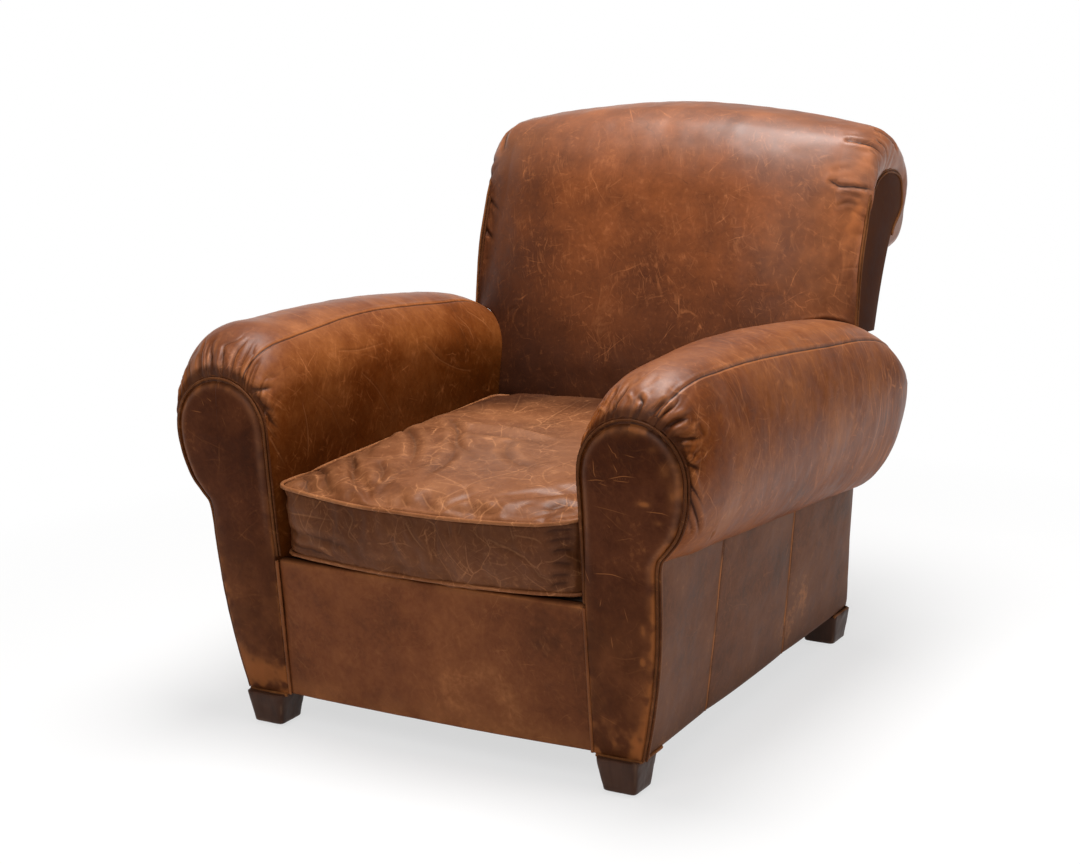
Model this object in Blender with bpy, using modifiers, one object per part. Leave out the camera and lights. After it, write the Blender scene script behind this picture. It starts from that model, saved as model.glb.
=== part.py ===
"""Worn leather club chair, built the way its maker would build it.

A timber base with sinuous springs carries a padded deck and a loose box cushion. Padded covers lie
over the boards of the arms and the raked back, flat covers close the front, sides and rear, and four
tapered block legs stand on glides. Units are metres, +Z is up, the chair faces -Y, and the origin is
on the floor under its middle.
"""

import math

import bmesh
import bpy
from mathutils import Matrix

# Overall size
DEPTH = 1.031
FRONT_Y = -DEPTH / 2
REAR_Y = DEPTH / 2
CLEARANCE = 0.0004

# Legs and glides
GLIDE_HEIGHT = 0.004
GLIDE_RADIUS = 0.011
LEG_TOP_Z = 0.052
LEG_BOTTOM_SIZE = 0.054
LEG_TOP_SIZE = 0.070
LEG_X = 0.3186
FRONT_LEG_Y = -0.4568
REAR_LEG_Y = 0.2776
BOLT_RADIUS = 0.004
BOLT_HOLE_RADIUS = 0.0046
BOLT_LOW_Z = 0.022
BOLT_HIGH_Z = 0.105

# Timber base
BASE_Z = 0.0575
BLOCK_SIZE = 0.060
BLOCK_TOP_Z = 0.120
RAIL_TOP_Z = 0.232
RAIL_THICK = 0.025
SIDE_RAIL_TOP_Z = 0.180
SIDE_RAIL_THICK = 0.022
FRAME_X = 0.344

# Front: the covers there share one plane that leans back towards the floor
FRONT_LEAN = 0.065
LEAN_START_Z = 0.480
PANEL_THICK = 0.020
SEAT_HALF_WIDTH = 0.2740
RAIL_COVER_THICK = 0.018
RAIL_COVER_TOP_Z = 0.286

# Arm front panels: a round head over a neck and a foot that tapers to the leg
HEAD_X = 0.3640
HEAD_Z = 0.4830
HEAD_RADIUS = 0.0850
NECK_X = 0.3905
NECK_Z = 0.3690
FOOT_X = 0.3515

# Arm pads: a roll over the arm board, with an inner side that drops past the deck
ARM_REAR_Y = 0.325
ARM_OUT_X = 0.4715
ARM_INNER_THICK = 0.020
ARM_INNER_FOOT_Z = 0.236
ARM_CREST = ((-0.491, 0.570), (-0.478, 0.604), (-0.438, 0.626), (-0.390, 0.634), (-0.294, 0.639),
             (-0.169, 0.6355), (-0.035, 0.624), (0.109, 0.607), (0.180, 0.593), (0.232, 0.573),
             (0.262, 0.557), (0.290, 0.534), (0.312, 0.506), (0.325, 0.474))
ARM_ROLL_RISE = 0.099
ARM_SWELL_LENGTH = 0.056
ARM_LEAN_LENGTH = 0.200
ARM_END_Y = 0.232
ARM_END_TUCK_X = 0.030
ARM_END_TUCK_Z = 0.060
ARM_UNDERSIDE_Z = 0.3165
ARM_UNDERSIDE_SLOPE = -0.091
ARM_BOARD_THICK = 0.020
ARM_BOARD_REAR_Y = 0.228
ARM_BOARD_LOW_X = 0.298
ARM_BOARD_HIGH_X = 0.352
STUMP_LOW_X = 0.300
STUMP_DEPTH = 0.030
POST_CLEAR_X = 0.352

# Side covers
SIDE_COVER_THICK = 0.006
SIDE_COVER_FRONT_Y = -0.464
SIDE_COVER_NARROWING = 0.012

# Seat
DECK_LOW_Z = 0.258
DECK_TOP_Z = 0.2915
CUSHION_LOW_Z = 0.292
CUSHION_EDGE_Z = 0.400
CUSHION_CROWN_Z = 0.440
CUSHION_HALF_WIDTH = 0.262
CUSHION_FRONT_Y = -0.503
CUSHION_REAR_Y = 0.1455

# Springs
SPRING_WIRE = 0.0019
SPRING_HALF_WIDTH = 0.022
SPRING_LOOPS = 11
SPRING_RISE = 0.014
SPRING_PLACES = (-0.20, -0.10, 0.0, 0.10, 0.20)

# Back: a padded sheet that rolls over the top rail to a hem behind
BACK_HALF_WIDTH = 0.384
BACK_TOP_Z = 0.928
BACK_LOW_Z = 0.2925
BACK_OVER_ARM_Z = 0.574
BACK_SEAT_Y = 0.149
BACK_HOLLOW_Z = 0.430
BACK_FACE_RAKE = 0.30
BACK_SIDE_SWEEP = 0.082
BACK_CROWN_DROP = 0.045
BACK_CORNER_DROP = 0.040
BACK_ROLL_HEIGHT = 0.085
BACK_LIP = 0.016
BACK_LIP_LOW_Z = 0.735
BACK_LIP_HIGH_Z = 0.800
BACK_LIP_TUCK = 0.16
REAR_PLANE_Y = 0.306
RAKE_START_Z = 0.420
RAKE = 0.39
REAR_COVER_THICK = 0.006
REAR_COVER_TOP_Z = 0.750
REAR_COVER_HALF_WIDTH = 0.3435
REAR_COVER_SHOULDERS = ((0.470, 0.3435), (0.560, 0.3830))
POST_DEPTH = 0.035
POST_WIDTH = 0.042
POST_TOP_Z = 0.800
WALL_GAP = 0.002
HEM_Z = 0.696
END_PANEL_THICK = 0.010
END_PANEL_LOW_Z = 0.562
END_PANEL_CENTRE = (0.425, 0.742)
END_PANEL_RADIUS = 0.066
DUST_COVER_THICK = 0.0012


def clear_scene():
    for obj in list(bpy.data.objects):
        bpy.data.objects.remove(obj)


def make_material(name, color, roughness, metallic=0.0):
    material = bpy.data.materials.new(name)
    material.use_nodes = True
    shader = material.node_tree.nodes["Principled BSDF"]
    shader.inputs["Base Color"].default_value = (*color, 1.0)
    shader.inputs["Roughness"].default_value = roughness
    shader.inputs["Metallic"].default_value = metallic
    return material


def make_collection(name):
    collection = bpy.data.collections.new(name)
    bpy.context.scene.collection.children.link(collection)
    return collection


def add_object(name, data, material, location=(0.0, 0.0, 0.0)):
    obj = bpy.data.objects.new(name, data)
    obj.location = location
    if material:
        data.materials.append(material)
    PARTS.objects.link(obj)
    return obj


def bevel(obj, width):
    modifier = obj.modifiers.new("soft_edges", "BEVEL")
    modifier.width = width
    modifier.segments = 1
    modifier.limit_method = "ANGLE"
    return modifier


def add_box(name, low, high, material, edge=0.0):
    """A box between two corners, with its origin at its middle."""
    size = [b - a for a, b in zip(low, high)]
    middle = [(a + b) / 2 for a, b in zip(low, high)]
    shape = bmesh.new()
    bmesh.ops.create_cube(shape, size=1.0)
    bmesh.ops.scale(shape, vec=size, verts=shape.verts)
    mesh = bpy.data.meshes.new(name)
    shape.to_mesh(mesh)
    shape.free()
    obj = add_object(name, mesh, material, middle)
    if edge:
        bevel(obj, edge)
    return obj


def add_cylinder(name, radius, low_z, high_z, x, y, segments, material):
    """An upright cylinder, with its origin at its middle."""
    shape = bmesh.new()
    bmesh.ops.create_cone(shape, cap_ends=True, segments=segments, radius1=radius, radius2=radius,
                          depth=high_z - low_z)
    mesh = bpy.data.meshes.new(name)
    shape.to_mesh(mesh)
    shape.free()
    mesh.shade_smooth()
    mesh.set_sharp_from_angle(angle=math.radians(40))
    return add_object(name, mesh, material, (x, y, (low_z + high_z) / 2))


def add_plate(name, outline, thickness, material):
    """A flat plate of this outline, in its own XY plane, with its origin in mid-thickness."""
    curve = bpy.data.curves.new(name, "CURVE")
    curve.dimensions = "2D"
    curve.fill_mode = "BOTH"
    curve.extrude = thickness / 2
    spline = curve.splines.new("POLY")
    spline.points.add(len(outline) - 1)
    for point, (u, v) in zip(spline.points, outline):
        point.co = (u, v, 0.0, 1.0)
    spline.use_cyclic_u = True
    return add_object(name, curve, material)


def add_side_plate(name, outline, low_x, high_x, material):
    """A plate whose outline is given as (y, z), between two x planes."""
    obj = add_plate(name, outline, high_x - low_x, material)
    obj.rotation_euler = (math.pi / 2, 0.0, math.pi / 2)
    obj.location.x = (low_x + high_x) / 2
    return obj


def add_loft(name, rings, material):
    """A closed skin through rings of equally many points, with its two end rings capped."""
    shape = bmesh.new()
    rows = [[shape.verts.new(point) for point in ring] for ring in rings]
    count = len(rows[0])
    for row, after in zip(rows, rows[1:]):
        for i in range(count):
            j = (i + 1) % count
            shape.faces.new((row[i], row[j], after[j], after[i]))
    shape.faces.new(rows[0])
    shape.faces.new(rows[-1])
    bmesh.ops.recalc_face_normals(shape, faces=shape.faces)
    mesh = bpy.data.meshes.new(name)
    shape.to_mesh(mesh)
    shape.free()
    mesh.shade_smooth()
    mesh.set_sharp_from_angle(angle=math.radians(40))
    return add_object(name, mesh, material)


def cut(obj, cutter):
    """Takes the cutter's shape out of the object."""
    PARTS.objects.unlink(cutter)
    CUTTERS.objects.link(cutter)
    cutter.hide_render = True
    cutter.display_type = "WIRE"
    modifier = obj.modifiers.new("cut", "BOOLEAN")
    modifier.operation = "DIFFERENCE"
    modifier.solver = "EXACT"
    modifier.object = cutter


def between(table, at):
    """The value at this place in a table of (place, value) pairs, on straight lines between them."""
    for (a, low), (b, high) in zip(table, table[1:]):
        if at <= b:
            return low + (high - low) * (at - a) / (b - a)
    return table[-1][1]


def side_name(name, side):
    return name + ("_right" if side > 0 else "_left")


def front_plane_y(z):
    """The y of the front covers' outer plane at this height."""
    return FRONT_Y + FRONT_LEAN * max(0.0, LEAN_START_Z - z)


def rear_plane_y(z):
    """The y of the outside back's outer plane at this height."""
    return REAR_PLANE_Y + RAKE * max(0.0, z - RAKE_START_Z)


def arm_underside_z(y):
    return ARM_UNDERSIDE_Z + ARM_UNDERSIDE_SLOPE * y


def make_leg(name, side, y):
    """A tapered square block with a blind hole in its top for the bolt."""
    shape = bmesh.new()
    bmesh.ops.create_cone(shape, cap_ends=True, segments=4, radius1=LEG_BOTTOM_SIZE / math.sqrt(2),
                          radius2=LEG_TOP_SIZE / math.sqrt(2), depth=LEG_TOP_Z - GLIDE_HEIGHT)
    quarter = Matrix.Rotation(math.pi / 4, 3, "Z")
    bmesh.ops.rotate(shape, verts=shape.verts, cent=(0.0, 0.0, 0.0), matrix=quarter)
    mesh = bpy.data.meshes.new(name)
    shape.to_mesh(mesh)
    shape.free()
    leg = add_object(name, mesh, LEG_WOOD, (side * LEG_X, y, (LEG_TOP_Z + GLIDE_HEIGHT) / 2))
    bevel(leg, 0.0015)
    hole = add_cylinder(name + "_hole", BOLT_HOLE_RADIUS, BOLT_LOW_Z - 0.001, LEG_TOP_Z + 0.01,
                        side * LEG_X, y, 12, None)
    cut(leg, hole)


def make_legs():
    for side in (-1, 1):
        for place, y in (("front", FRONT_LEG_Y), ("rear", REAR_LEG_Y)):
            name = side_name(place, side)
            make_leg("leg_" + name, side, y)
            add_cylinder("glide_" + name, GLIDE_RADIUS, 0.0, GLIDE_HEIGHT - CLEARANCE,
                         side * LEG_X, y, 20, NYLON)
            add_cylinder("leg_bolt_" + name, BOLT_RADIUS, BOLT_LOW_Z, BOLT_HIGH_Z,
                         side * LEG_X, y, 12, STEEL)


def make_base():
    """Corner blocks over the legs, with the rails between them."""
    inner_x = FRAME_X - BLOCK_SIZE
    front_y = front_plane_y(BASE_Z) + PANEL_THICK + 0.002
    rear_y = REAR_PLANE_Y - REAR_COVER_THICK - CLEARANCE
    for side in (-1, 1):
        for place, low_y, leg_y in (("front", front_y, FRONT_LEG_Y),
                                    ("rear", rear_y - BLOCK_SIZE, REAR_LEG_Y)):
            xs = sorted((side * inner_x, side * FRAME_X))
            name = side_name("corner_block_" + place, side)
            block = add_box(name, (xs[0], low_y, LEG_TOP_Z + CLEARANCE),
                            (xs[1], low_y + BLOCK_SIZE, BLOCK_TOP_Z), TIMBER)
            hole = add_cylinder(name + "_hole", BOLT_HOLE_RADIUS, LEG_TOP_Z - 0.01,
                                BLOCK_TOP_Z + 0.01, side * LEG_X, leg_y, 12, None)
            cut(block, hole)
        xs = sorted((side * (FRAME_X - SIDE_RAIL_THICK), side * FRAME_X))
        add_box(side_name("side_rail", side),
                (xs[0], front_y + BLOCK_SIZE + CLEARANCE, BASE_Z),
                (xs[1], rear_y - BLOCK_SIZE - CLEARANCE, SIDE_RAIL_TOP_Z), TIMBER)
    half = inner_x - CLEARANCE
    add_box("front_rail", (-half, front_y, BASE_Z), (half, front_y + RAIL_THICK, RAIL_TOP_Z), TIMBER)
    add_box("rear_rail", (-half, rear_y - RAIL_THICK, BASE_Z), (half, rear_y, RAIL_TOP_Z), TIMBER)
    return front_y, rear_y


def make_arm_frame(front_y):
    """The stump that stands on each front block, and the sloping board on top of it."""
    slope = math.atan(ARM_UNDERSIDE_SLOPE)
    board_front_y = front_plane_y(arm_underside_z(FRONT_Y)) + PANEL_THICK + 0.006
    length = (ARM_BOARD_REAR_Y - board_front_y) / math.cos(slope)
    middle_y = (board_front_y + ARM_BOARD_REAR_Y) / 2
    stump_rear_y = front_y + STUMP_DEPTH
    stump_top = arm_underside_z(stump_rear_y) - ARM_BOARD_THICK - 0.004
    for side in (-1, 1):
        xs = sorted((side * STUMP_LOW_X, side * FRAME_X))
        add_box(side_name("arm_stump", side), (xs[0], front_y, BLOCK_TOP_Z + CLEARANCE),
                (xs[1], stump_rear_y, stump_top), TIMBER)
        xs = sorted((side * ARM_BOARD_LOW_X, side * ARM_BOARD_HIGH_X))
        board = add_box(side_name("arm_board", side), (xs[0], -length / 2, -ARM_BOARD_THICK / 2),
                        (xs[1], length / 2, ARM_BOARD_THICK / 2), TIMBER)
        board.location.y = middle_y
        board.location.z = arm_underside_z(middle_y) - ARM_BOARD_THICK / 2 - 0.0015
        board.rotation_euler.x = slope


def make_back_frame(rear_y):
    """Two bent posts on the rear blocks, joined by a top rail and a lower rail."""
    top_y = rear_plane_y(POST_TOP_Z) - REAR_COVER_THICK - CLEARANCE
    outline = ((rear_y, BLOCK_TOP_Z + CLEARANCE), (rear_y, RAKE_START_Z), (top_y, POST_TOP_Z),
               (top_y - POST_DEPTH, POST_TOP_Z), (rear_y - POST_DEPTH, RAKE_START_Z),
               (rear_y - POST_DEPTH, BLOCK_TOP_Z + CLEARANCE))
    inner_x = FRAME_X - POST_WIDTH
    for side in (-1, 1):
        xs = sorted((side * inner_x, side * FRAME_X))
        add_side_plate(side_name("back_post", side), outline, xs[0], xs[1], TIMBER)
    half = inner_x - CLEARANCE
    for name, low_z, height in (("back_top_rail", POST_TOP_Z - 0.050, 0.050),
                                ("back_lower_rail", RAKE_START_Z, 0.060)):
        low_y = rear_plane_y(low_z) - REAR_COVER_THICK - CLEARANCE
        high_y = rear_plane_y(low_z + height) - REAR_COVER_THICK - CLEARANCE
        section = ((low_y, low_z), (high_y, low_z + height), (high_y - RAIL_THICK, low_z + height),
                   (low_y - RAIL_THICK, low_z))
        add_side_plate(name, section, -half, half, TIMBER)


def make_springs(front_y, rear_y):
    """Sinuous wires: flat zigzags of trapezoid loops that rise a little to mid-seat."""
    start = front_y + RAIL_THICK / 2
    span = rear_y - RAIL_THICK / 2 - start
    rest_z = RAIL_TOP_Z + SPRING_WIRE + CLEARANCE
    count = SPRING_LOOPS * 4
    for number, x in enumerate(SPRING_PLACES, 1):
        curve = bpy.data.curves.new("seat_spring", "CURVE")
        curve.dimensions = "3D"
        curve.bevel_depth = SPRING_WIRE
        curve.bevel_resolution = 2
        curve.use_fill_caps = True
        spline = curve.splines.new("POLY")
        spline.points.add(count)
        for i, point in enumerate(spline.points):
            along = i / count
            reach = SPRING_HALF_WIDTH * (1 if i % 4 in (1, 2) else -1)
            rise = SPRING_RISE * math.sin(math.pi * along)
            point.co = (x + reach, start + span * along, rest_z + rise, 1.0)
        add_object("seat_spring_%d" % number, curve, STEEL)


def rounded_rectangle(low_x, low_y, high_x, high_y, radius, z, steps=3):
    corners = ((high_x, high_y, 0), (low_x, high_y, 1), (low_x, low_y, 2), (high_x, low_y, 3))
    points = []
    for x, y, turn in corners:
        middle_x = x - math.copysign(radius, x - (low_x + high_x) / 2)
        middle_y = y - math.copysign(radius, y - (low_y + high_y) / 2)
        for i in range(steps + 1):
            angle = math.pi / 2 * (turn + i / steps)
            points.append((middle_x + radius * math.cos(angle),
                           middle_y + radius * math.sin(angle), z))
    return points


def make_seat():
    """The padded deck over the springs, and the crowned box cushion that lies on it."""
    add_box("seat_deck", (-SEAT_HALF_WIDTH + 0.001, front_plane_y(DECK_LOW_Z) + 0.022, DECK_LOW_Z),
            (SEAT_HALF_WIDTH - 0.001, 0.258, DECK_TOP_Z), DECK_CLOTH, 0.004)
    levels = ((0.010, CUSHION_LOW_Z), (0.0, CUSHION_LOW_Z + 0.012), (0.0, CUSHION_EDGE_Z - 0.012),
              (0.010, CUSHION_EDGE_Z), (0.060, CUSHION_EDGE_Z + 0.022),
              (0.120, CUSHION_CROWN_Z - 0.006), (0.180, CUSHION_CROWN_Z))
    rings = [rounded_rectangle(inset - CUSHION_HALF_WIDTH, CUSHION_FRONT_Y + inset,
                               CUSHION_HALF_WIDTH - inset, CUSHION_REAR_Y - inset,
                               max(0.008, 0.030 - inset / 10), z) for inset, z in levels]
    add_loft("seat_cushion", rings, CUSHION_LEATHER)


def panel_outline(inner_x, shrink=0.0):
    """The arm front panel from the front, as (x, z), foot to head and back to the foot."""
    radius = HEAD_RADIUS - shrink
    low_turn = math.atan2(NECK_Z + 0.022 - HEAD_Z, NECK_X + 0.030 - HEAD_X)
    points = [(inner_x, BASE_Z), (FOOT_X - shrink, BASE_Z), (NECK_X - shrink, NECK_Z - 0.020),
              (NECK_X - shrink + 0.004, NECK_Z + 0.003)]
    steps = 14
    high_turn = math.pi - math.acos(min(1.0, (HEAD_X - inner_x - 0.004) / radius))
    for i in range(steps + 1):
        angle = low_turn + (high_turn - low_turn) * i / steps
        points.append((HEAD_X + radius * math.cos(angle), HEAD_Z + radius * math.sin(angle)))
    points.append((inner_x, HEAD_Z - 0.030))
    return points


def make_front():
    """The two arm front panels and the rail cover between them, all on the leaning plane."""
    for side in (-1, 1):
        rings = []
        for setback in (0.0, 0.0035, PANEL_THICK):
            outline = panel_outline(SEAT_HALF_WIDTH + (0.003 if setback == 0.0 else 0.0),
                                    0.0035 if setback == 0.0 else 0.0)
            rings.append([(side * x, front_plane_y(z) + setback, z) for x, z in outline])
        add_loft(side_name("arm_front_panel", side), rings, PANEL_LEATHER)
    angle = math.atan(FRONT_LEAN)
    height = (RAIL_COVER_TOP_Z - BASE_Z) / math.cos(angle)
    half = SEAT_HALF_WIDTH - 0.0005
    cover = add_box("front_rail_cover", (-half, -RAIL_COVER_THICK / 2, -height / 2),
                    (half, RAIL_COVER_THICK / 2, height / 2), RAIL_LEATHER, 0.004)
    middle_z = (RAIL_COVER_TOP_Z + BASE_Z) / 2
    cover.location = (0.0, front_plane_y(middle_z) + RAIL_COVER_THICK / 2, middle_z)
    cover.rotation_euler.x = angle


def arm_ring(y, side):
    """The arm pad's section at y: an egg-shaped roll, its flat underside and its inner drop."""
    from_front = y - ARM_CREST[0][0]
    swell = min(1.0, from_front / ARM_SWELL_LENGTH)
    past_post = min(1.0, max(0.0, (y - ARM_END_Y) / 0.030))
    end = max(0.0, (y - ARM_END_Y) / (ARM_REAR_Y - ARM_END_Y))
    head_x = HEAD_X + HEAD_RADIUS
    out_x = head_x + (ARM_OUT_X - head_x) * math.sqrt(swell) - ARM_END_TUCK_X * end ** 2
    in_x = SEAT_HALF_WIDTH + 0.0006 + (POST_CLEAR_X - SEAT_HALF_WIDTH) * past_post
    rise = ARM_ROLL_RISE * (1.0 - 0.45 * end ** 2)
    low_z = arm_underside_z(y) + ARM_END_TUCK_Z * end ** 2
    middle_x = (out_x + in_x) / 2
    half = (out_x - in_x) / 2
    middle_z = between(ARM_CREST, y) - rise
    neck_x = NECK_X + 0.002
    turn = -math.acos(min(0.95, max(-0.3, (neck_x - middle_x) / half)))
    drop = (middle_z - low_z) / -math.sin(turn)
    points = []
    for i in range(9):
        angle = turn * (1 - i / 8)
        points.append((middle_x + half * math.cos(angle), middle_z + drop * math.sin(angle)))
    for i in range(1, 15):
        angle = math.pi * i / 14
        points.append((middle_x + half * math.cos(angle), middle_z + rise * math.sin(angle)))
    foot_z = ARM_INNER_FOOT_Z + (low_z - 0.001 - ARM_INNER_FOOT_Z) * past_post
    inner_x = in_x + ARM_INNER_THICK
    points += [(in_x, foot_z), (inner_x, foot_z), (inner_x, low_z)]
    lean = FRONT_LEAN * max(0.0, 1.0 - from_front / ARM_LEAN_LENGTH)
    return [(side * x, y + lean * max(0.0, LEAN_START_Z - z), z) for x, z in points]


def make_arm_pads():
    for side in (-1, 1):
        rings = [arm_ring(y, side) for y, _ in ARM_CREST]
        add_loft(side_name("arm_pad", side), rings, ARM_LEATHER)


def make_side_covers(rear_y):
    """The flat outer sides: a thin sloping sheet from under each arm roll to the base."""
    rear_end_y = rear_y + REAR_COVER_THICK
    for side in (-1, 1):
        rings = []
        for y, narrowing in ((SIDE_COVER_FRONT_Y, 0.0), (rear_end_y, SIDE_COVER_NARROWING)):
            top_z = arm_underside_z(y) - 0.006
            slope = (NECK_X - narrowing - FOOT_X) / (NECK_Z - BASE_Z)
            top_x = FOOT_X + slope * (top_z - BASE_Z)
            rings.append([(side * x, y, z) for x, z in (
                (FOOT_X, BASE_Z), (top_x, top_z), (top_x - SIDE_COVER_THICK, top_z),
                (FOOT_X - SIDE_COVER_THICK, BASE_Z))])
        add_loft(side_name("side_cover", side), rings, PANEL_LEATHER)


def back_front_y(x, z):
    """The front of the back: hollow at the seat, raked above, swept back towards its sides."""
    above = z - BACK_HOLLOW_Z
    hollow = 0.25 * max(0.0, 0.06 - abs(above)) ** 2 / 0.06
    sweep = BACK_SIDE_SWEEP * (abs(x) / BACK_HALF_WIDTH) ** 4
    return BACK_SEAT_Y + BACK_FACE_RAKE * max(0.0, above) + hollow + sweep


def back_section(x, low_z):
    """The back's outer line at x, as (y, z): up the front, over the top and down to the hem."""
    spread = abs(x) / BACK_HALF_WIDTH
    top_z = BACK_TOP_Z - BACK_CROWN_DROP * spread ** 2 - BACK_CORNER_DROP * spread ** 8
    face_z = top_z - BACK_ROLL_HEIGHT
    heights = [low_z + (face_z - low_z) * i / 8 for i in range(9)]
    points = [(back_front_y(x, z), z) for z in heights]
    front = back_front_y(x, face_z)
    rear = REAR_Y - 0.012 * spread ** 6
    middle_y = (front + rear) / 2
    for i in range(1, 10):
        angle = math.pi * (1 - i / 10)
        points.append((middle_y + (rear - middle_y) * math.cos(angle),
                       face_z + BACK_ROLL_HEIGHT * math.sin(angle)))
    points += [(rear - 0.001, HEM_Z + 0.094), (rear, HEM_Z + 0.066), (rear - 0.010, HEM_Z + 0.032),
               (rear - 0.036, HEM_Z + 0.008), (rear - 0.066, HEM_Z)]
    return points


def back_ring(x, lip, tuck):
    """The back's section at x, closed round the inside over the posts and the outside back.

    The lip carries the top and rear of the line outwards, and the tuck pulls them in to the end panel.
    """
    low_z = BACK_LOW_Z if abs(x) < SEAT_HALF_WIDTH else BACK_OVER_ARM_Z
    wall = REAR_COVER_THICK + WALL_GAP + (POST_DEPTH if abs(x) < FRAME_X + 0.001 else 0.0)
    centre_y, centre_z = END_PANEL_CENTRE
    points = []
    for y, z in back_section(x, low_z):
        share = min(1.0, max(0.0, (z - BACK_LIP_LOW_Z) / (BACK_LIP_HIGH_Z - BACK_LIP_LOW_Z)))
        pull = 1.0 - tuck * share
        points.append((x + math.copysign(lip * share, x), centre_y + (y - centre_y) * pull,
                       centre_z + (z - centre_z) * pull))
    roof_z = POST_TOP_Z + 0.006
    for z in (HEM_Z, roof_z):
        points.append((x, rear_plane_y(z) + 0.0015, z))
    for z in (roof_z, low_z):
        points.append((x, REAR_PLANE_Y + RAKE * (z - RAKE_START_Z) - wall, z))
    return points


def make_back():
    stations = ((0.10, 0.0, 0.0), (0.19, 0.0, 0.0), (SEAT_HALF_WIDTH - 0.0008, 0.0, 0.0),
                (SEAT_HALF_WIDTH, 0.0, 0.0), (0.315, 0.0, 0.0), (FRAME_X + 0.0006, 0.1 * BACK_LIP, 0.0),
                (FRAME_X + 0.0014, 0.1 * BACK_LIP, 0.0), (0.366, 0.5 * BACK_LIP, 0.0),
                (0.378, BACK_LIP, 0.04), (0.3835, 0.8 * BACK_LIP, 0.11),
                (BACK_HALF_WIDTH, 0.0, BACK_LIP_TUCK))
    rings = [back_ring(-x, lip, tuck) for x, lip, tuck in reversed(stations)]
    rings.append(back_ring(0.0, 0.0, 0.0))
    rings += [back_ring(x, lip, tuck) for x, lip, tuck in stations]
    add_loft("inside_back", rings, BACK_LEATHER)


def end_panel_outline():
    """The bullet-shaped end of the back, as (y, z)."""
    low_z = END_PANEL_LOW_Z
    points = [(rear_plane_y(low_z) - 0.002, low_z), (back_front_y(BACK_HALF_WIDTH, low_z) + 0.004, low_z)]
    for i in range(15):
        angle = math.radians(172 - 205 * i / 14)
        points.append((END_PANEL_CENTRE[0] + END_PANEL_RADIUS * math.cos(angle),
                       END_PANEL_CENTRE[1] + END_PANEL_RADIUS * math.sin(angle)))
    return points


def make_rear():
    """The end panels, the outside back that slips under the hem, and the dust cover below."""
    outline = end_panel_outline()
    for side in (-1, 1):
        xs = sorted((side * (BACK_HALF_WIDTH + CLEARANCE),
                     side * (BACK_HALF_WIDTH + CLEARANCE + END_PANEL_THICK)))
        add_side_plate(side_name("back_end_panel", side), outline, xs[0], xs[1], PANEL_LEATHER)
    levels = ((BASE_Z, REAR_COVER_HALF_WIDTH), (RAKE_START_Z, REAR_COVER_HALF_WIDTH),
              *REAR_COVER_SHOULDERS, (REAR_COVER_TOP_Z, REAR_COVER_SHOULDERS[-1][1]))
    rings = []
    for z, half in levels:
        y = rear_plane_y(z)
        rings.append([(-half, y, z), (half, y, z), (half, y - REAR_COVER_THICK, z),
                      (-half, y - REAR_COVER_THICK, z)])
    add_loft("outside_back", rings, PANEL_LEATHER)


def make_dust_cover(front_y, rear_y):
    """A thin cloth under the base, notched round the corner blocks."""
    half = FRAME_X - 0.002
    notch_x = half - BLOCK_SIZE
    low_y = front_y + 0.002
    high_y = rear_y - 0.002
    notch = BLOCK_SIZE + 0.002
    outline = ((-notch_x, low_y), (notch_x, low_y), (notch_x, low_y + notch), (half, low_y + notch),
               (half, high_y - notch), (notch_x, high_y - notch), (notch_x, high_y),
               (-notch_x, high_y), (-notch_x, high_y - notch), (-half, high_y - notch),
               (-half, low_y + notch), (-notch_x, low_y + notch))
    cover = add_plate("dust_cover", outline, DUST_COVER_THICK, DUST_CLOTH)
    cover.location.z = BASE_Z - CLEARANCE - DUST_COVER_THICK / 2


clear_scene()
PARTS = make_collection("club_chair")
CUTTERS = make_collection("cutters")
CUSHION_LEATHER = make_material("cushion_leather", (0.16, 0.065, 0.032), 0.42)
ARM_LEATHER = make_material("arm_leather", (0.24, 0.090, 0.036), 0.40)
BACK_LEATHER = make_material("back_leather", (0.24, 0.085, 0.034), 0.42)
RAIL_LEATHER = make_material("rail_leather", (0.22, 0.080, 0.034), 0.45)
PANEL_LEATHER = make_material("panel_leather", (0.11, 0.040, 0.022), 0.45)
LEG_WOOD = make_material("leg_wood", (0.035, 0.016, 0.011), 0.45)
TIMBER = make_material("timber", (0.52, 0.36, 0.20), 0.70)
STEEL = make_material("steel", (0.42, 0.41, 0.40), 0.40, 1.0)
NYLON = make_material("nylon", (0.04, 0.035, 0.03), 0.50)
DECK_CLOTH = make_material("deck_cloth", (0.10, 0.055, 0.035), 0.85)
DUST_CLOTH = make_material("dust_cloth", (0.02, 0.02, 0.02), 0.90)

make_legs()
front_frame_y, rear_frame_y = make_base()
make_arm_frame(front_frame_y)
make_back_frame(rear_frame_y)
make_springs(front_frame_y, rear_frame_y)
make_seat()
make_front()
make_arm_pads()
make_side_covers(rear_frame_y)
make_back()
make_rear()
make_dust_cover(front_frame_y, rear_frame_y)
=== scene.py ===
"""Worn leather club chair: the visible leather, piping, wood and cloth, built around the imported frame.

Each piece is a surface worked out on a grid of two parameters, in metres, in the frame's own axes:
+Z is up and the chair faces -Y. Names with right and left follow the frame's: right is +X.
"""

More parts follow.
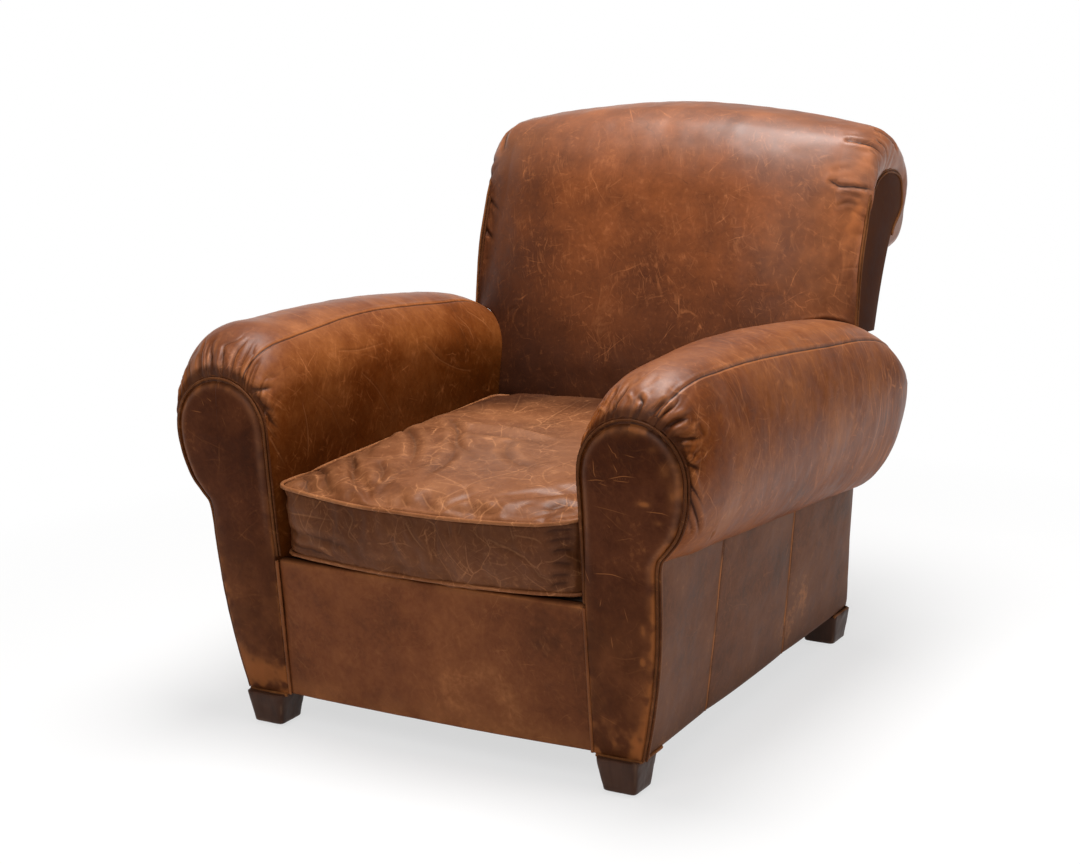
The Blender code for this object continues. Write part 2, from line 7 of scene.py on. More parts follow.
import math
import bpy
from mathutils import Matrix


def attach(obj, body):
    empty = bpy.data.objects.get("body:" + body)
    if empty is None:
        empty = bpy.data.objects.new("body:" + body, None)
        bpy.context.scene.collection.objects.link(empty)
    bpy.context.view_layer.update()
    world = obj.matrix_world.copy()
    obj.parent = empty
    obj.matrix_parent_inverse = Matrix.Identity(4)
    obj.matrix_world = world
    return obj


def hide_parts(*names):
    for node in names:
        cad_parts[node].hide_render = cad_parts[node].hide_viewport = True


bl_info = {
    "name": "Worn Club Chair",
    "version": (1, 0, 0),
    "blender": (4, 5, 0),
    "location": "3D View > Sidebar > Club Chair",
    "description": "Builds a worn leather club chair piece by piece around its packed frame",
    "category": "Object",
}

import bmesh
import bpy
import numpy as np
from mathutils import Matrix, Vector

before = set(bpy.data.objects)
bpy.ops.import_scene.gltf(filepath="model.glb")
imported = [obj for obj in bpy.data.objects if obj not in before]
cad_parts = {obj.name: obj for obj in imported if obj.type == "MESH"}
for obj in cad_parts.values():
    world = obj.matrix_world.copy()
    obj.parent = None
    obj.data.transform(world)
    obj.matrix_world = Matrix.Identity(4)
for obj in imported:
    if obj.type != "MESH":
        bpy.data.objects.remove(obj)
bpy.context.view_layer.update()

# Front covers: one plane that leans back towards the floor
FRONT_Y = -0.5155
FRONT_LEAN = 0.065
LEAN_START_Z = 0.480
BASE_Z = 0.0575

# Rear: an upright plane that turns into the raked back
REAR_PLANE_Y = 0.306
RAKE_START_Z = 0.420
RAKE = 0.39

# Arm front panel: a half-round head over a neck that tapers to the leg, its outer and inner edges as
# (z, x), and the sizes of its pillow
HEAD_CENTRE = (0.3624, 0.4850)
HEAD_SIZE = (0.0830, 0.0840)
PANEL_OUTER = ((0.0575, 0.3570), (0.1250, 0.3722), (0.1900, 0.3832), (0.2600, 0.3902), (0.3200, 0.3928),
               (0.3500, 0.3942), (0.3680, 0.3978), (0.3850, 0.4110), (0.4040, 0.4262), (0.4200, 0.4338),
               (0.4400, 0.4402), (0.4650, 0.4446), (0.4850, 0.4454))
PANEL_INNER = ((0.0575, 0.2772), (0.2800, 0.2776), (0.3500, 0.2794), (0.4850, 0.2794))
PANEL_CROWN = 0.0035
PANEL_ROUND = 0.0140
PANEL_SET = 0.0030
PIPING_START_Z = 0.290
# Piping rows round the panel, as (name, distance out from its edge, setback, radius, wear)
PANEL_PIPINGS = (("panel_piping", 0.0016, 0.0066, 0.0021, 0.30),
                 ("arm_piping", 0.0052, 0.0098, 0.0017, 0.05))

# Arm pads: the crest's height and that of the widest point by y, and the sizes of the roll's section
ARM_CREST = ((-0.505, 0.6335), (-0.390, 0.6355), (-0.294, 0.6390), (-0.169, 0.6355), (-0.035, 0.6240),
             (0.109, 0.6060), (0.180, 0.5900), (0.232, 0.5680), (0.262, 0.5480), (0.290, 0.5210),
             (0.312, 0.4920), (0.327, 0.4600))
ARM_OUT = ((-0.505, 0.4690), (-0.300, 0.4715), (0.000, 0.4730), (0.220, 0.4740), (0.280, 0.4700),
           (0.312, 0.4560), (0.325, 0.4380))
ARM_INNER_X = 0.2752
ARM_INNER_FOOT_Z = 0.2450
ARM_REAR_Y = 0.327
ARM_SWELL_LENGTH = 0.105
ARM_END_Y = 0.232
ARM_LOW_Z = 0.3165
ARM_LOW_SLOPE = -0.091
ARM_NECK_X = 0.3925
ARM_NECK_Z = 0.3620
ARM_HALF_WIDTH = 0.0985
ARM_CENTRE_X = 0.3725
ARM_SHOULDER = 0.099
ARM_SQUARENESS = 2.6
ARM_FILL = 0.6
ARM_END_ROUND = 0.028
ARM_TUCK_Y = 0.275
ARM_TUCK_LENGTH = 0.022
ARM_TUCK_X = 0.376
ARM_TUCK_SHARE = 0.764
# The seam along each arm: its place round from the crest, by the distance back from the welt
ARM_SEAMS = {1: ((0.0, 0.050), (0.061, 0.057), (0.139, 0.0636), (0.259, 0.0733), (0.395, 0.082),
                 (0.543, 0.088), (0.85, 0.090)),
             -1: ((0.0, -0.060), (0.056, -0.071), (0.094, -0.074), (0.142, -0.070), (0.216, -0.0655),
                  (0.285, -0.060), (0.450, -0.058), (0.570, -0.058), (0.673, -0.049), (0.85, -0.045))}

# Side covers, between the foot and the arm roll, and each seam's y as (at the top, at the foot)
SIDE_FRONT_Y = -0.4985
SIDE_THICK = 0.006
SIDE_FOOT_X = 0.3525
SIDE_TOP_X = 0.3895
SIDE_SEAMS = ((-0.2585, -0.2590), (0.0122, 0.0270))
# Piping rows up the front corner, as (name, setback, radius)
CORNER_PIPINGS = (("corner_piping", 0.0135, 0.0030), ("corner_piping_rear", 0.0205, 0.0028))

# Back
BACK_HALF_WIDTH = 0.3760
BACK_TOP_Z = 0.9245
HEM_Z = 0.694

# Seat cushion
CUSHION_HALF_WIDTH = 0.2660
CUSHION_FRONT_Y = -0.4960
CUSHION_REAR_Y = 0.1490
CUSHION_LOW_Z = 0.2950
CUSHION_TOP_Z = 0.3960
CUSHION_CORNER = 0.020
# How far the front edge of the top is lifted, as (x, z)
CUSHION_LIFT = ((-0.27, 0.010), (-0.19, 0.004), (-0.08, -0.001), (0.04, -0.001), (0.12, 0.001),
                (0.20, 0.004), (0.27, 0.014))
CUSHION_GRID = 0.0066
CUSHION_FILL = 0.6
# Its piping, as (name, distance out from the rim, lift beside it, wear)
CUSHION_PIPINGS = (("cushion_piping_top", 0.0020, 0.35, 0.75), ("cushion_piping_low", 0.0012, -0.35, 0.15))
CUSHION_PIPING_RADIUS = 0.0031
# The cloth that its skin settles as, and the most that any point may move
CLOTH_FRAMES = 14
CLOTH_PRESSURE = 3.2
CLOTH_GROWTH = 0.035
CLOTH_STIFFNESS = 9.0
CLOTH_MOST_MOVE = 0.022

# Padded deck under the cushion
DECK_HALF_WIDTH = 0.270
DECK_FRONT_Y = -0.478
DECK_REAR_Y = 0.250
DECK_Z = 0.2875
DECK_ROUND = 0.012
DECK_THICK = 0.016
DECK_FILL = 0.6

# Back: its section at mid-width as (y, z), the outline of its end as (share of the way, y, z), and the
# end panel's outline from its front foot over the head to its rear foot as (y, z)
BACK_SWEEP = 0.082
BACK_CROWN_DROP = 0.045
BACK_TURN_X = 0.325
BACK_LIP = 0.014
BACK_TAIL_DROP = 0.012
BACK_SECTION = ((0.149, 0.2925), (0.149, 0.350), (0.150, 0.410), (0.160, 0.470), (0.178, 0.530),
                (0.196, 0.590), (0.214, 0.650), (0.233, 0.710), (0.253, 0.768), (0.274, 0.820),
                (0.300, 0.866), (0.335, 0.902), (0.380, 0.920), (0.425, 0.9240), (0.468, 0.911),
                (0.502, 0.880), (0.5195, 0.838), (0.5240, 0.795), (0.5230, 0.758), (0.5140, 0.726),
                (0.4920, 0.702), (0.4580, 0.6930), (0.4140, 0.692))
BACK_END = ((0.0, 0.272, 0.556), (0.20, 0.290, 0.645), (0.40, 0.314, 0.717), (0.47, 0.324, 0.742),
            (0.53, 0.340, 0.771), (0.58, 0.360, 0.793), (0.65, 0.395, 0.807), (0.70, 0.432, 0.809),
            (0.74, 0.460, 0.800), (0.785, 0.481, 0.779), (0.85, 0.482, 0.752), (0.93, 0.462, 0.728),
            (1.0, 0.436, 0.706))
END_PANEL = ((0.276, 0.552), (0.294, 0.655), (0.318, 0.724), (0.342, 0.775), (0.374, 0.801), (0.412, 0.809),
             (0.450, 0.803), (0.476, 0.784), (0.480, 0.750), (0.440, 0.712), (0.415, 0.675), (0.382, 0.610),
             (0.356, 0.545))
END_CROWN = 0.003
END_THICK = 0.0055
# Piping rows round the end panel, as (name, distance out from its edge, distance sideways)
END_PIPINGS = (("end_piping", 0.0008, 0.0028), ("end_piping_outer", 0.0056, 0.0014))
END_PIPING_RADIUS = 0.0018
END_PIPING_LOW_Z = 0.70
BACK_FILL = 0.6
BACK_INNER_TOP_Z = 0.806
BACK_INNER_CLEAR = 0.0015
BACK_INNER_GAP = 0.034
BACK_SEAT_X = 0.2745
BACK_SCALE_Z = 0.55
BACK_TOP_SHARE = 0.47

# Rear cover with its half width by height, and the corner between it and a side
REAR_COVER_THICK = 0.006
REAR_COVER_TOP_Z = 0.750
REAR_COVER_HALF = ((BASE_Z, 0.3435), (0.350, 0.3435), (0.420, 0.3560), (0.470, 0.3620), (0.560, 0.3755),
                   (REAR_COVER_TOP_Z, 0.3755))
REAR_CORNER_X = 0.3425
REAR_CORNER_TOP_Z = 0.352
REAR_CORNER_THICK = 0.005
REAR_CORNER_SET = 0.0045
SIDE_REAR_Y = 0.3040
SIDE_REAR_TOP_Z = 0.2988
SIDE_TAIL = 0.0485

# Front rail
RAIL_HALF_WIDTH = 0.2740
RAIL_TOP_Z = 0.2800
RAIL_ROUND = 0.0060
RAIL_THICK = 0.010
RAIL_PIPING_RADIUS = 0.0027

# Legs as (name, x, y), and the piping over them
LEGS = (("front_left", -0.3205, -0.4625), ("front_right", 0.3205, -0.4625),
        ("rear_left", -0.3210, 0.2740), ("rear_right", 0.3210, 0.2740))
LEG_BOLT_RADIUS = 0.0048
FOOT_PIPING_RADIUS = 0.0028

# Studio: lamps as (name, place, aim, size, power), and the camera
LAMPS = (("key", (0.7, -2.9, 2.7), (0.0, -0.1, 0.4), 2.4, 40.0),
         ("top", (0.1, 0.0, 3.0), (0.0, 0.0, 0.4), 1.6, 94.0),
         ("right", (3.2, 0.2, 1.7), (0.3, 0.0, 0.4), 1.8, 18.0))
VIEW_POINT = (1.70083, -2.99424, 1.23293)
VIEW_ANGLES = (30.8272, 13.4541, -1.7740)

# Piping: a tube's sides, and the way that its seam points
PIPING_SIDES = 12
FORWARD = (0.0, -1.0, 0.0)
OUTWARD = (1.0, 0.0, 0.0)

# How far from a fold its side distance is kept
STROKE_REACH = 0.009

# Leathers, as linear colours from the darkest dye, whose dimmed copy paints shade and dirt, to a rubbed edge
LEATHERS = {
    "cushion_hide": dict(dark=(0.065, 0.018, 0.006), base=(0.172, 0.056, 0.019), light=(0.240, 0.086, 0.032),
                         tan=(0.52, 0.22, 0.09), gloss=0.38, shine=0.10, crackle=0.7, film=0.48),
    "arm_hide": dict(dark=(0.052, 0.011, 0.001), base=(0.155, 0.036, 0.004), light=(0.240, 0.070, 0.014),
                     tan=(0.46, 0.165, 0.055), gloss=0.42, stretch=0.70, shine=0.04, scuff=1.2, film=0.50),
    "back_hide": dict(dark=(0.050, 0.014, 0.006), base=(0.134, 0.038, 0.012), light=(0.210, 0.058, 0.016),
                      tan=(0.46, 0.16, 0.055), gloss=0.42, shine=0.12, scuff=1.3, film=0.50),
    "panel_hide": dict(dark=(0.024, 0.006, 0.002), base=(0.056, 0.014, 0.004), light=(0.086, 0.024, 0.008),
                       tan=(0.30, 0.105, 0.032), gloss=0.40, shine=0.05, scuff=0.45, contrast=1.2,
                       nib=0.0010),
    "end_hide": dict(dark=(0.022, 0.006, 0.002), base=(0.042, 0.012, 0.005), light=(0.060, 0.018, 0.007),
                     tan=(0.20, 0.070, 0.022), gloss=0.60, shine=0.03, scuff=0.2, contrast=0.7, nib=0.0010),
    "side_hide": dict(dark=(0.060, 0.022, 0.010), base=(0.128, 0.050, 0.025), light=(0.165, 0.070, 0.037),
                      tan=(0.44, 0.180, 0.072), gloss=0.46, shine=0.05, scuff=0.45, contrast=1.4),
    "rail_hide": dict(dark=(0.070, 0.020, 0.006), base=(0.150, 0.044, 0.014), light=(0.200, 0.064, 0.021),
                      tan=(0.34, 0.130, 0.045), gloss=0.46, shine=0.08, scuff=0.70, contrast=1.3),
    "piping_hide": dict(dark=(0.024, 0.006, 0.002), base=(0.058, 0.016, 0.005), light=(0.11, 0.035, 0.012),
                        tan=(0.38, 0.15, 0.05), gloss=0.46, shine=0.05),
}


# ---------------------------------------------------------------- fold tables

def fold_table(*rows):
    """Folds on a piece's chart as (points, depth, width, pale).

    A row starts with the depth and the width in tenths of a millimetre and the pale stroke's strength
    in tenths. The points' pairs of whole millimetres follow.
    """
    return [([(a / 1000, b / 1000) for a, b in zip(row[3::2], row[4::2])], row[0] / 10000, row[1] / 10000,
             row[2] / 10) for row in rows]


PANEL_LINES_RIGHT = fold_table(
    (3, 20, 9, 306, 505, 307, 491, 314, 481), (3, 20, 6, 332, 532, 341, 519),
    (3, 20, 8, 341, 523, 345, 515), (3, 20, 9, 336, 487, 357, 492, 377, 492),
    (3, 20, 7, 341, 484, 352, 484, 367, 484), (3, 20, 8, 392, 444, 409, 444, 426, 440),
    (3, 20, 8, 301, 480, 314, 482, 328, 482), (3, 20, 8, 341, 503, 346, 494),
    (3, 20, 4, 311, 442, 330, 440, 371, 433), (3, 20, 6, 362, 522, 374, 520),
    (3, 20, 6, 327, 415, 329, 413), (3, 20, 5, 317, 477, 331, 474), (3, 20, 4, 344, 397, 366, 403),
    (3, 20, 9, 304, 341, 325, 343, 352, 338), (3, 20, 6, 283, 340, 290, 322),
    (3, 20, 7, 321, 243, 322, 228), (3, 20, 7, 306, 298, 304, 290), (3, 20, 5, 345, 290, 350, 270),
    (3, 20, 3, 296, 120, 330, 108))
PANEL_LINES_LEFT = fold_table(
    (3, 20, 8, 408, 516, 391, 515), (3, 20, 9, 376, 537, 371, 534), (3, 20, 7, 390, 532, 387, 525),
    (3, 20, 4, 351, 509, 345, 495), (3, 20, 4, 359, 566, 357, 554), (3, 20, 2, 424, 484, 372, 457),
    (3, 20, 2, 395, 471, 342, 455))
ARM_LINES_RIGHT = fold_table(
    (16, 26, 6, 21, -111, 19, -118, 0, -83), (14, 26, 5, 10, -130, 7, -132, 23, -159),
    (-12, 22, 7, 18, -76, 3, -54, 0, -54), (16, 26, 2, 8, -48, 2, -45, 0, -32),
    (14, 24, 5, 14, -38, 4, -34, 0, -21), (26, 28, 5, 14, 6, 7, 18, 1, 18, 0, -1),
    (-10, 22, 5, 16, -14, 7, -2, 3, -5), (30, 34, 3, 16, 48, 6, 43, 1, 35),
    (16, 26, 2, 17, 61, 5, 57, 1, 56), (36, 40, 1, 1, 71, 6, 77, 17, 86, 28, 97),
    (14, 36, 2, 36, 114, 39, 129, 29, 131), (34, 34, 4, 0, 92, 7, 110, 20, 123, 39, 137),
    (18, 30, 1, 0, 107, 5, 120, 18, 138), (14, 30, 1, 0, 119, 6, 135, 23, 156),
    (40, 30, 5, 0, 129, 4, 155, 17, 174, 32, 186), (-8, 20, 7, 36, 158, 26, 164),
    (34, 36, 1, 0, 159, 3, 198, 14, 231, 28, 256), (36, 42, 1, 0, 187, 2, 231, 11, 259, 26, 289, 41, 320),
    (16, 36, 1, 2, 277, 13, 297, 20, 316), (14, 30, 4, 74, 308, 84, 327))
ARM_LINES_LEFT = fold_table(
    (24, 32, 3, 1, -82, 11, -104, 32, -127), (22, 32, 5, 1, -95, 7, -128, 26, -166),
    (24, 34, 5, 1, -110, 14, -163, 34, -202), (12, 34, 4, 3, -148, 15, -187, 33, -219),
    (6, 30, 7, 9, -187, 21, -223, 38, -265), (4, 25, 7, 88, -183, 96, -223, 84, -277),
    (4, 25, 4, 121, -170, 162, -198, 188, -240, 213, -277),
    (4, 25, 5, 260, -162, 300, -195, 335, -240, 361, -274),
    (5, 30, 6, 452, -136, 502, -172, 586, -196, 632, -191), (6, 30, 8, 633, -81, 666, -107, 680, -134),
    (6, 30, 6, 588, -92, 605, -123, 606, -150), (4, 25, 4, 211, -117, 271, -124, 352, -122),
    (16, 24, 6, 3, -64, 2, -47, 1, -31), (16, 24, 6, 19, 75, 9, 75, 2, 67),
    (14, 24, 5, 17, 48, 7, 49, 1, 43), (14, 24, 2, 12, 18, 5, 21, 1, 20),
    (12, 24, 2, 17, -10, 6, -8, 1, -17), (16, 24, 4, 22, 106, 19, 127, 1, 116))
BACK_LINES = fold_table(
    (60, 50, 1, 330, 650, 352, 654, 378, 667, 425, 690),
    (60, 50, 1, 362, 740, 385, 757, 402, 778, 430, 780), (40, 45, 1, 385, 700, 405, 715, 430, 722),
    (42, 42, 3, 316, 556, 332, 548, 350, 551, 379, 557, 424, 575),
    (16, 40, 4, 341, 537, 363, 536, 393, 534), (14, 40, 2, 334, 512, 356, 520, 391, 518),
    (10, 45, 2, 319, 579, 336, 586, 356, 589), (30, 30, 8, 306, 293, 341, 297, 390, 290, 441, 273),
    (26, 60, 1, -452, 640, -425, 622, -390, 600, -365, 592), (24, 60, 2, -452, 600, -425, 580, -385, 560),
    (22, 60, 2, -452, 530, -420, 510, -375, 485, -335, 468), (28, 60, 2, -452, 455, -418, 430, -369, 411),
    (36, 60, 1, -358, 698, -364, 661, -358, 622, -345, 596), (12, 40, 6, -254, 283, -268, 272, -276, 257))
CUSHION_LINES = fold_table(
    (34, 50, 5, -252, -445, -221, -475, -197, -491),
    (36, 52, 5, -261, -394, -195, -453, -170, -477, -140, -492),
    (32, 55, 6, -231, -340, -169, -412, -120, -470, -89, -488),
    (30, 55, 5, -145, -373, -115, -404, -103, -432, -108, -460),
    (42, 60, 6, -219, -196, -161, -257, -123, -313, -84, -387),
    (40, 55, 5, -174, -134, -130, -180, -100, -230, -48, -278, 7, -309),
    (26, 60, 1, -95, -244, -64, -291, -48, -338, -41, -388, -26, -433),
    (-40, 70, 3, -188, -138, -144, -153, -79, -149, -2, -162, 52, -176, 81, -187),
    (26, 70, 0, -126, -180, -59, -181, 15, -190, 62, -209),
    (18, 50, 7, -219, -128, -191, -110, -156, -105, -111, -113),
    (12, 50, 7, -205, -52, -150, -68, -97, -43), (4, 40, 5, 44, -421, -15, -394, -71, -371),
    (6, 40, 6, 44, -421, 47, -394, 74, -349, 92, -295, 125, -269),
    (12, 45, 7, 44, -421, 82, -465, 103, -489), (4, 40, 4, 44, -421, 33, -455, 3, -464),
    (10, 40, 6, 112, -446, 133, -468, 149, -478), (14, 45, 5, -7, -455, 13, -472, 49, -489),
    (14, 45, 5, -36, -468, -16, -485), (10, 40, 5, 23, -455, 41, -473, 69, -489),
    (50, 60, 1, 224, -443, 210, -449, 199, -466), (30, 50, 1, 236, -462, 220, -465, 215, -485),
    (8, 40, 7, -163, 67, -128, -4, -96, -77), (8, 40, 7, -49, 76, -35, -28, -23, -119, -22, -144),
    (6, 40, 5, -26, 74, -7, -53), (6, 40, 6, -238, -343, -163, -355, -120, -341, -81, -331),
    (8, 40, 7, -167, -461, -152, -424, -123, -401), (8, 40, 5, -230, 44, -174, -37, -144, -100),
    (24, 60, 1, -12, -216, 10, -259, 64, -305, 106, -317),
    (6, 40, 4, 131, -281, 120, -325, 165, -381, 173, -353), (12, 60, 1, -117, -384, -84, -404, -51, -400))
BOXING_LINES = fold_table(
    (12, 35, 10, -13, 380, 6, 357, 23, 342), (8, 35, 6, -273, 357, -185, 367, -127, 367),
    (8, 35, 7, -127, 387, -112, 375, -121, 352, -95, 338), (6, 30, 8, 123, 371, 133, 358),
    (6, 30, 8, 163, 388, 169, 371), (10, 35, 7, 131, 372, 170, 358, 209, 337),
    (6, 35, 6, 139, 367, 179, 355, 199, 344), (6, 35, 6, 173, 381, 202, 377, 216, 367),
    (6, 35, 6, 182, 354, 195, 341, 209, 333), (16, 40, 5, 198, 334, 204, 323, 228, 317),
    (44, 55, 1, 250, 386, 231, 388, 210, 383), (36, 55, 1, 249, 374, 234, 375, 214, 372),
    (32, 55, 1, 249, 356, 233, 359, 219, 357), (36, 55, 2, 246, 338, 233, 342, 219, 344),
    (32, 55, 3, 244, 323, 229, 325, 212, 321), (30, 50, 3, 240, 312, 225, 310, 213, 303),
    (22, 60, 1, -279, 327, -189, 335, -131, 331, -74, 332), (26, 60, 1, -265, 314, -216, 308, -139, 306),
    (20, 50, 1, -264, 296, -270, 295, -223, 295), (10, 40, 4, -8, 388, 0, 375),
    (10, 40, 5, 31, 386, 35, 374), (12, 40, 5, 59, 386, 66, 367), (10, 40, 5, 81, 387, 77, 374),
    (10, 40, 5, 106, 384, 110, 371), (12, 70, 1, -120, 320, -38, 310, 73, 310))

# Rubbed spots on the front panels, as (x, z, half-width, half-height, amount)
PANEL_SPOTS = ((0.385, 0.454, 0.0093, 0.0040, 0.8), (0.406, 0.428, 0.0085, 0.0040, 0.7),
               (0.419, 0.505, 0.0099, 0.0116, 0.6), (0.400, 0.534, 0.0070, 0.0050, 0.6),
               (0.427, 0.464, 0.0064, 0.0203, 0.5), (0.419, 0.395, 0.0087, 0.0116, 0.4),
               (0.372, 0.262, 0.0050, 0.0080, 0.7), (0.368, 0.215, 0.0040, 0.0060, 0.7))


# ---------------------------------------------------------------- shape maths


def unit(x):
    """The value held between 0 and 1."""
    return np.clip(x, 0.0, 1.0)


def ease(low, high, x):
    """A smooth step from 0 at low to 1 at high."""
    t = unit((x - low) / (high - low))
    return t * t * (3.0 - 2.0 * t)


def hump(x, centre, width):
    """A bell of height 1 at centre."""
    return np.exp(-((x - centre) / width) ** 2)


def spline(knots, at):
    """The value at each place on a smooth line through (place, value) knots that never overshoots them."""
    place, value = np.array(knots, float).T
    step = np.diff(place)
    slope = np.diff(value) / step
    tangent = np.concatenate([slope[:1], np.zeros(len(slope) - 1), slope[-1:]])
    agree = slope[:-1] * slope[1:] > 0.0
    before = np.where(agree, slope[:-1], 1.0)
    after = np.where(agree, slope[1:], 1.0)
    tangent[1:-1] = np.where(agree, 2.0 * before * after / (before + after), 0.0)
    i = np.clip(np.searchsorted(place, at) - 1, 0, len(step) - 1)
    t = unit((at - place[i]) / step[i])
    return ((2 * t ** 3 - 3 * t ** 2 + 1) * value[i] + (t ** 3 - 2 * t ** 2 + t) * step[i] * tangent[i]
            + (3 * t ** 2 - 2 * t ** 3) * value[i + 1] + (t ** 3 - t ** 2) * step[i] * tangent[i + 1])


def run_along(points):
    """The distance along a path to each of its points."""
    return np.concatenate([[0.0], np.cumsum(np.linalg.norm(np.diff(points, axis=0), axis=1))])


def smooth_path(points, count):
    """A path of count points, evenly spaced along a smooth line through these points."""
    points = np.array(points, float)
    length = run_along(points)
    at = np.linspace(0.0, length[-1], count)
    return np.stack([spline(np.stack([length, axis], 1), at) for axis in points.T], 1)


def lattice_value(i, j, k, seed):
    """A fixed pseudo-random number from -1 to 1 for each whole-number place."""
    h = (i * 73856093) ^ (j * 19349663) ^ (k * 83492791) ^ (seed * 2654435761)
    h = (h ^ (h >> 13)) * 1274126177
    h = (h ^ (h >> 16)) & 0xFFFFFF
    return h / float(0x7FFFFF) - 1.0


def noise(x, y, z, seed=0):
    """Smooth noise from -1 to 1: lattice values blended with a smooth step on each axis."""
    x, y, z = np.broadcast_arrays(x, y, z)
    cell = [np.floor(a).astype(np.int64) for a in (x, y, z)]
    part = [a - c for a, c in zip((x, y, z), cell)]
    u, v, w = [t * t * (3.0 - 2.0 * t) for t in part]
    total = np.zeros(x.shape)
    for a in (0, 1):
        for b in (0, 1):
            for c in (0, 1):
                weight = (u if a else 1 - u) * (v if b else 1 - v) * (w if c else 1 - w)
                total += weight * lattice_value(cell[0] + a, cell[1] + b, cell[2] + c, seed)
    return total


def rough_noise(points, scale, seed=0, octaves=3):
    """Noise at a scale in waves per metre, with finer and weaker layers added."""
    total = 0.0
    for i in range(octaves):
        p = points * scale * 2 ** i
        total = total + noise(p[..., 0], p[..., 1], p[..., 2], seed + i) * 0.5 ** i
    return total


def folds(p, q, lines):
    """Folds drawn on a chart of a surface: their height, painted shade in their valleys, fields for thin
    strokes, and a painted highlight on their ridges.

    Each line is (points, depth, width, pale). Across a line the height is a sharp valley between two
    soft shoulders, or a ridge where depth is negative, and it fades to nothing at both ends. The side
    distance is positive on one side of a line and negative on the other, so a material can draw a
    stroke finer than the mesh where it crosses zero.
    """
    height, dark, ridge, stroke, cut, ruling = [np.zeros(p.shape) for _ in range(6)]
    gap = np.full(p.shape, STROKE_REACH)
    for points, depth, width, pale in lines:
        path = smooth_path(points, max(4, 3 * len(points)))
        reach = 5.0 * width
        low, high = path.min(0) - reach, path.max(0) + reach
        close = (p > low[0]) & (p < high[0]) & (q > low[1]) & (q < high[1])
        if not close.any():
            continue
        a, b = p[close], q[close]
        best = np.full(a.shape, 9.0)
        beside = np.full(a.shape, 9.0)
        along = np.zeros(a.shape)
        total = len(path) - 1
        for i in range(total):
            dx, dy = path[i + 1] - path[i]
            length = math.hypot(dx, dy) + 1e-9
            share = unit(((a - path[i, 0]) * dx + (b - path[i, 1]) * dy) / length ** 2)
            away = np.hypot(a - path[i, 0] - share * dx, b - path[i, 1] - share * dy)
            side = ((a - path[i, 0]) * dy - (b - path[i, 1]) * dx) / length
            nearer = away < best
            best = np.where(nearer, away, best)
            beside = np.where(nearer, side, beside)
            along = np.where(nearer, (i + share) / total, along)
        taper = ease(-0.50, 0.25, along) * ease(0.0, 0.50, 1.0 - along)
        side = best / width
        height[close] += depth * taper * (0.35 * np.exp(-((side - 2.2) / 1.2) ** 2) - np.exp(-1.2 * side))
        if depth > 0.0:
            # Painted shade in the valley of a deep fold, and a painted highlight on the shoulder beside it.
            for layer, shade in ((dark, np.exp(-side * side)), (ridge, np.exp(-((side - 2.0) / 0.8) ** 2))):
                layer[close] = np.maximum(layer[close], taper * shade * min(1.0, depth / 0.003))
        fade = taper * np.exp(-(best / 0.004) ** 2)
        take = fade > ruling[close]
        ruling[close] = np.where(take, fade, ruling[close])
        stroke[close] = np.where(take, pale * fade, stroke[close])
        # The dark stroke along a deep fold is painted shade in its crease.
        cut[close] = np.where(take, fade * unit(depth / 0.0025 - 0.4), cut[close])
        gap[close] = np.where(take, np.clip(beside, -STROKE_REACH, STROKE_REACH), gap[close])
    return height, dark, {"line": stroke, "cut": cut, "gap": gap}, ridge * (1.0 - dark)


def grid_normals(points):
    """Unit normals of a grid of points: the cross product of its two directions."""
    normal = np.cross(np.gradient(points, axis=0), np.gradient(points, axis=1))
    return normal / np.maximum(np.linalg.norm(normal, axis=-1, keepdims=True), 1e-9)


# ---------------------------------------------------------------- meshes

def new_object(name, mesh, material):
    obj = bpy.data.objects.new(name, mesh)
    bpy.context.scene.collection.objects.link(obj)
    mesh.materials.append(material)
    return obj


def read_array(data, key, kind=np.float32, width=3):
    """One value or vector per element of a mesh's data, as an array with a row for each."""
    values = np.empty(len(data) * width, kind)
    data.foreach_get(key, values)
    return values.reshape(-1, width)


def add_fields(mesh, fields, chart=None):
    """Stores each field as one number per point, and the chart as a vector per point."""
    for key, values in (fields or {}).items():
        attribute = mesh.attributes.new(key, "FLOAT", "POINT")
        attribute.data.foreach_set("value", np.ascontiguousarray(values, np.float32).ravel())
    if chart is not None:
        attribute = mesh.attributes.new("chart", "FLOAT_VECTOR", "POINT")
        attribute.data.foreach_set("vector", np.ascontiguousarray(chart, np.float32).ravel())


def mesh_of(name, points, loops, totals, fields=None, chart=None):
    """A smooth mesh from points, the corner list of its faces and each face's corner count."""
    mesh = bpy.data.meshes.new(name)
    mesh.vertices.add(len(points))
    mesh.vertices.foreach_set("co", np.ascontiguousarray(points, np.float32).ravel())
    mesh.loops.add(len(loops))
    mesh.loops.foreach_set("vertex_index", np.ascontiguousarray(loops, np.int32))
    mesh.polygons.add(len(totals))
    starts = np.concatenate([[0], np.cumsum(totals)[:-1]]).astype(np.int32)
    mesh.polygons.foreach_set("loop_start", starts)
    mesh.update(calc_edges=True)
    mesh.validate()
    add_fields(mesh, fields, chart)
    mesh.shade_smooth()
    return mesh


def face_outwards(mesh):
    """Turns a closed mesh the right way round if the volume it holds comes out negative."""
    mesh.calc_loop_triangles()
    corners = read_array(mesh.loop_triangles, "vertices", np.int32)
    a, b, c = np.moveaxis(read_array(mesh.vertices, "co").astype(float)[corners], 1, 0)
    if np.einsum("ij,ij->i", a, np.cross(b, c)).sum() < 0.0:
        mesh.flip_normals()


def grid_quads(index):
    """The four corners of each face between neighbouring rows and columns of point numbers."""
    return np.stack([index[:-1, :-1], index[1:, :-1], index[1:, 1:], index[:-1, 1:]], -1)


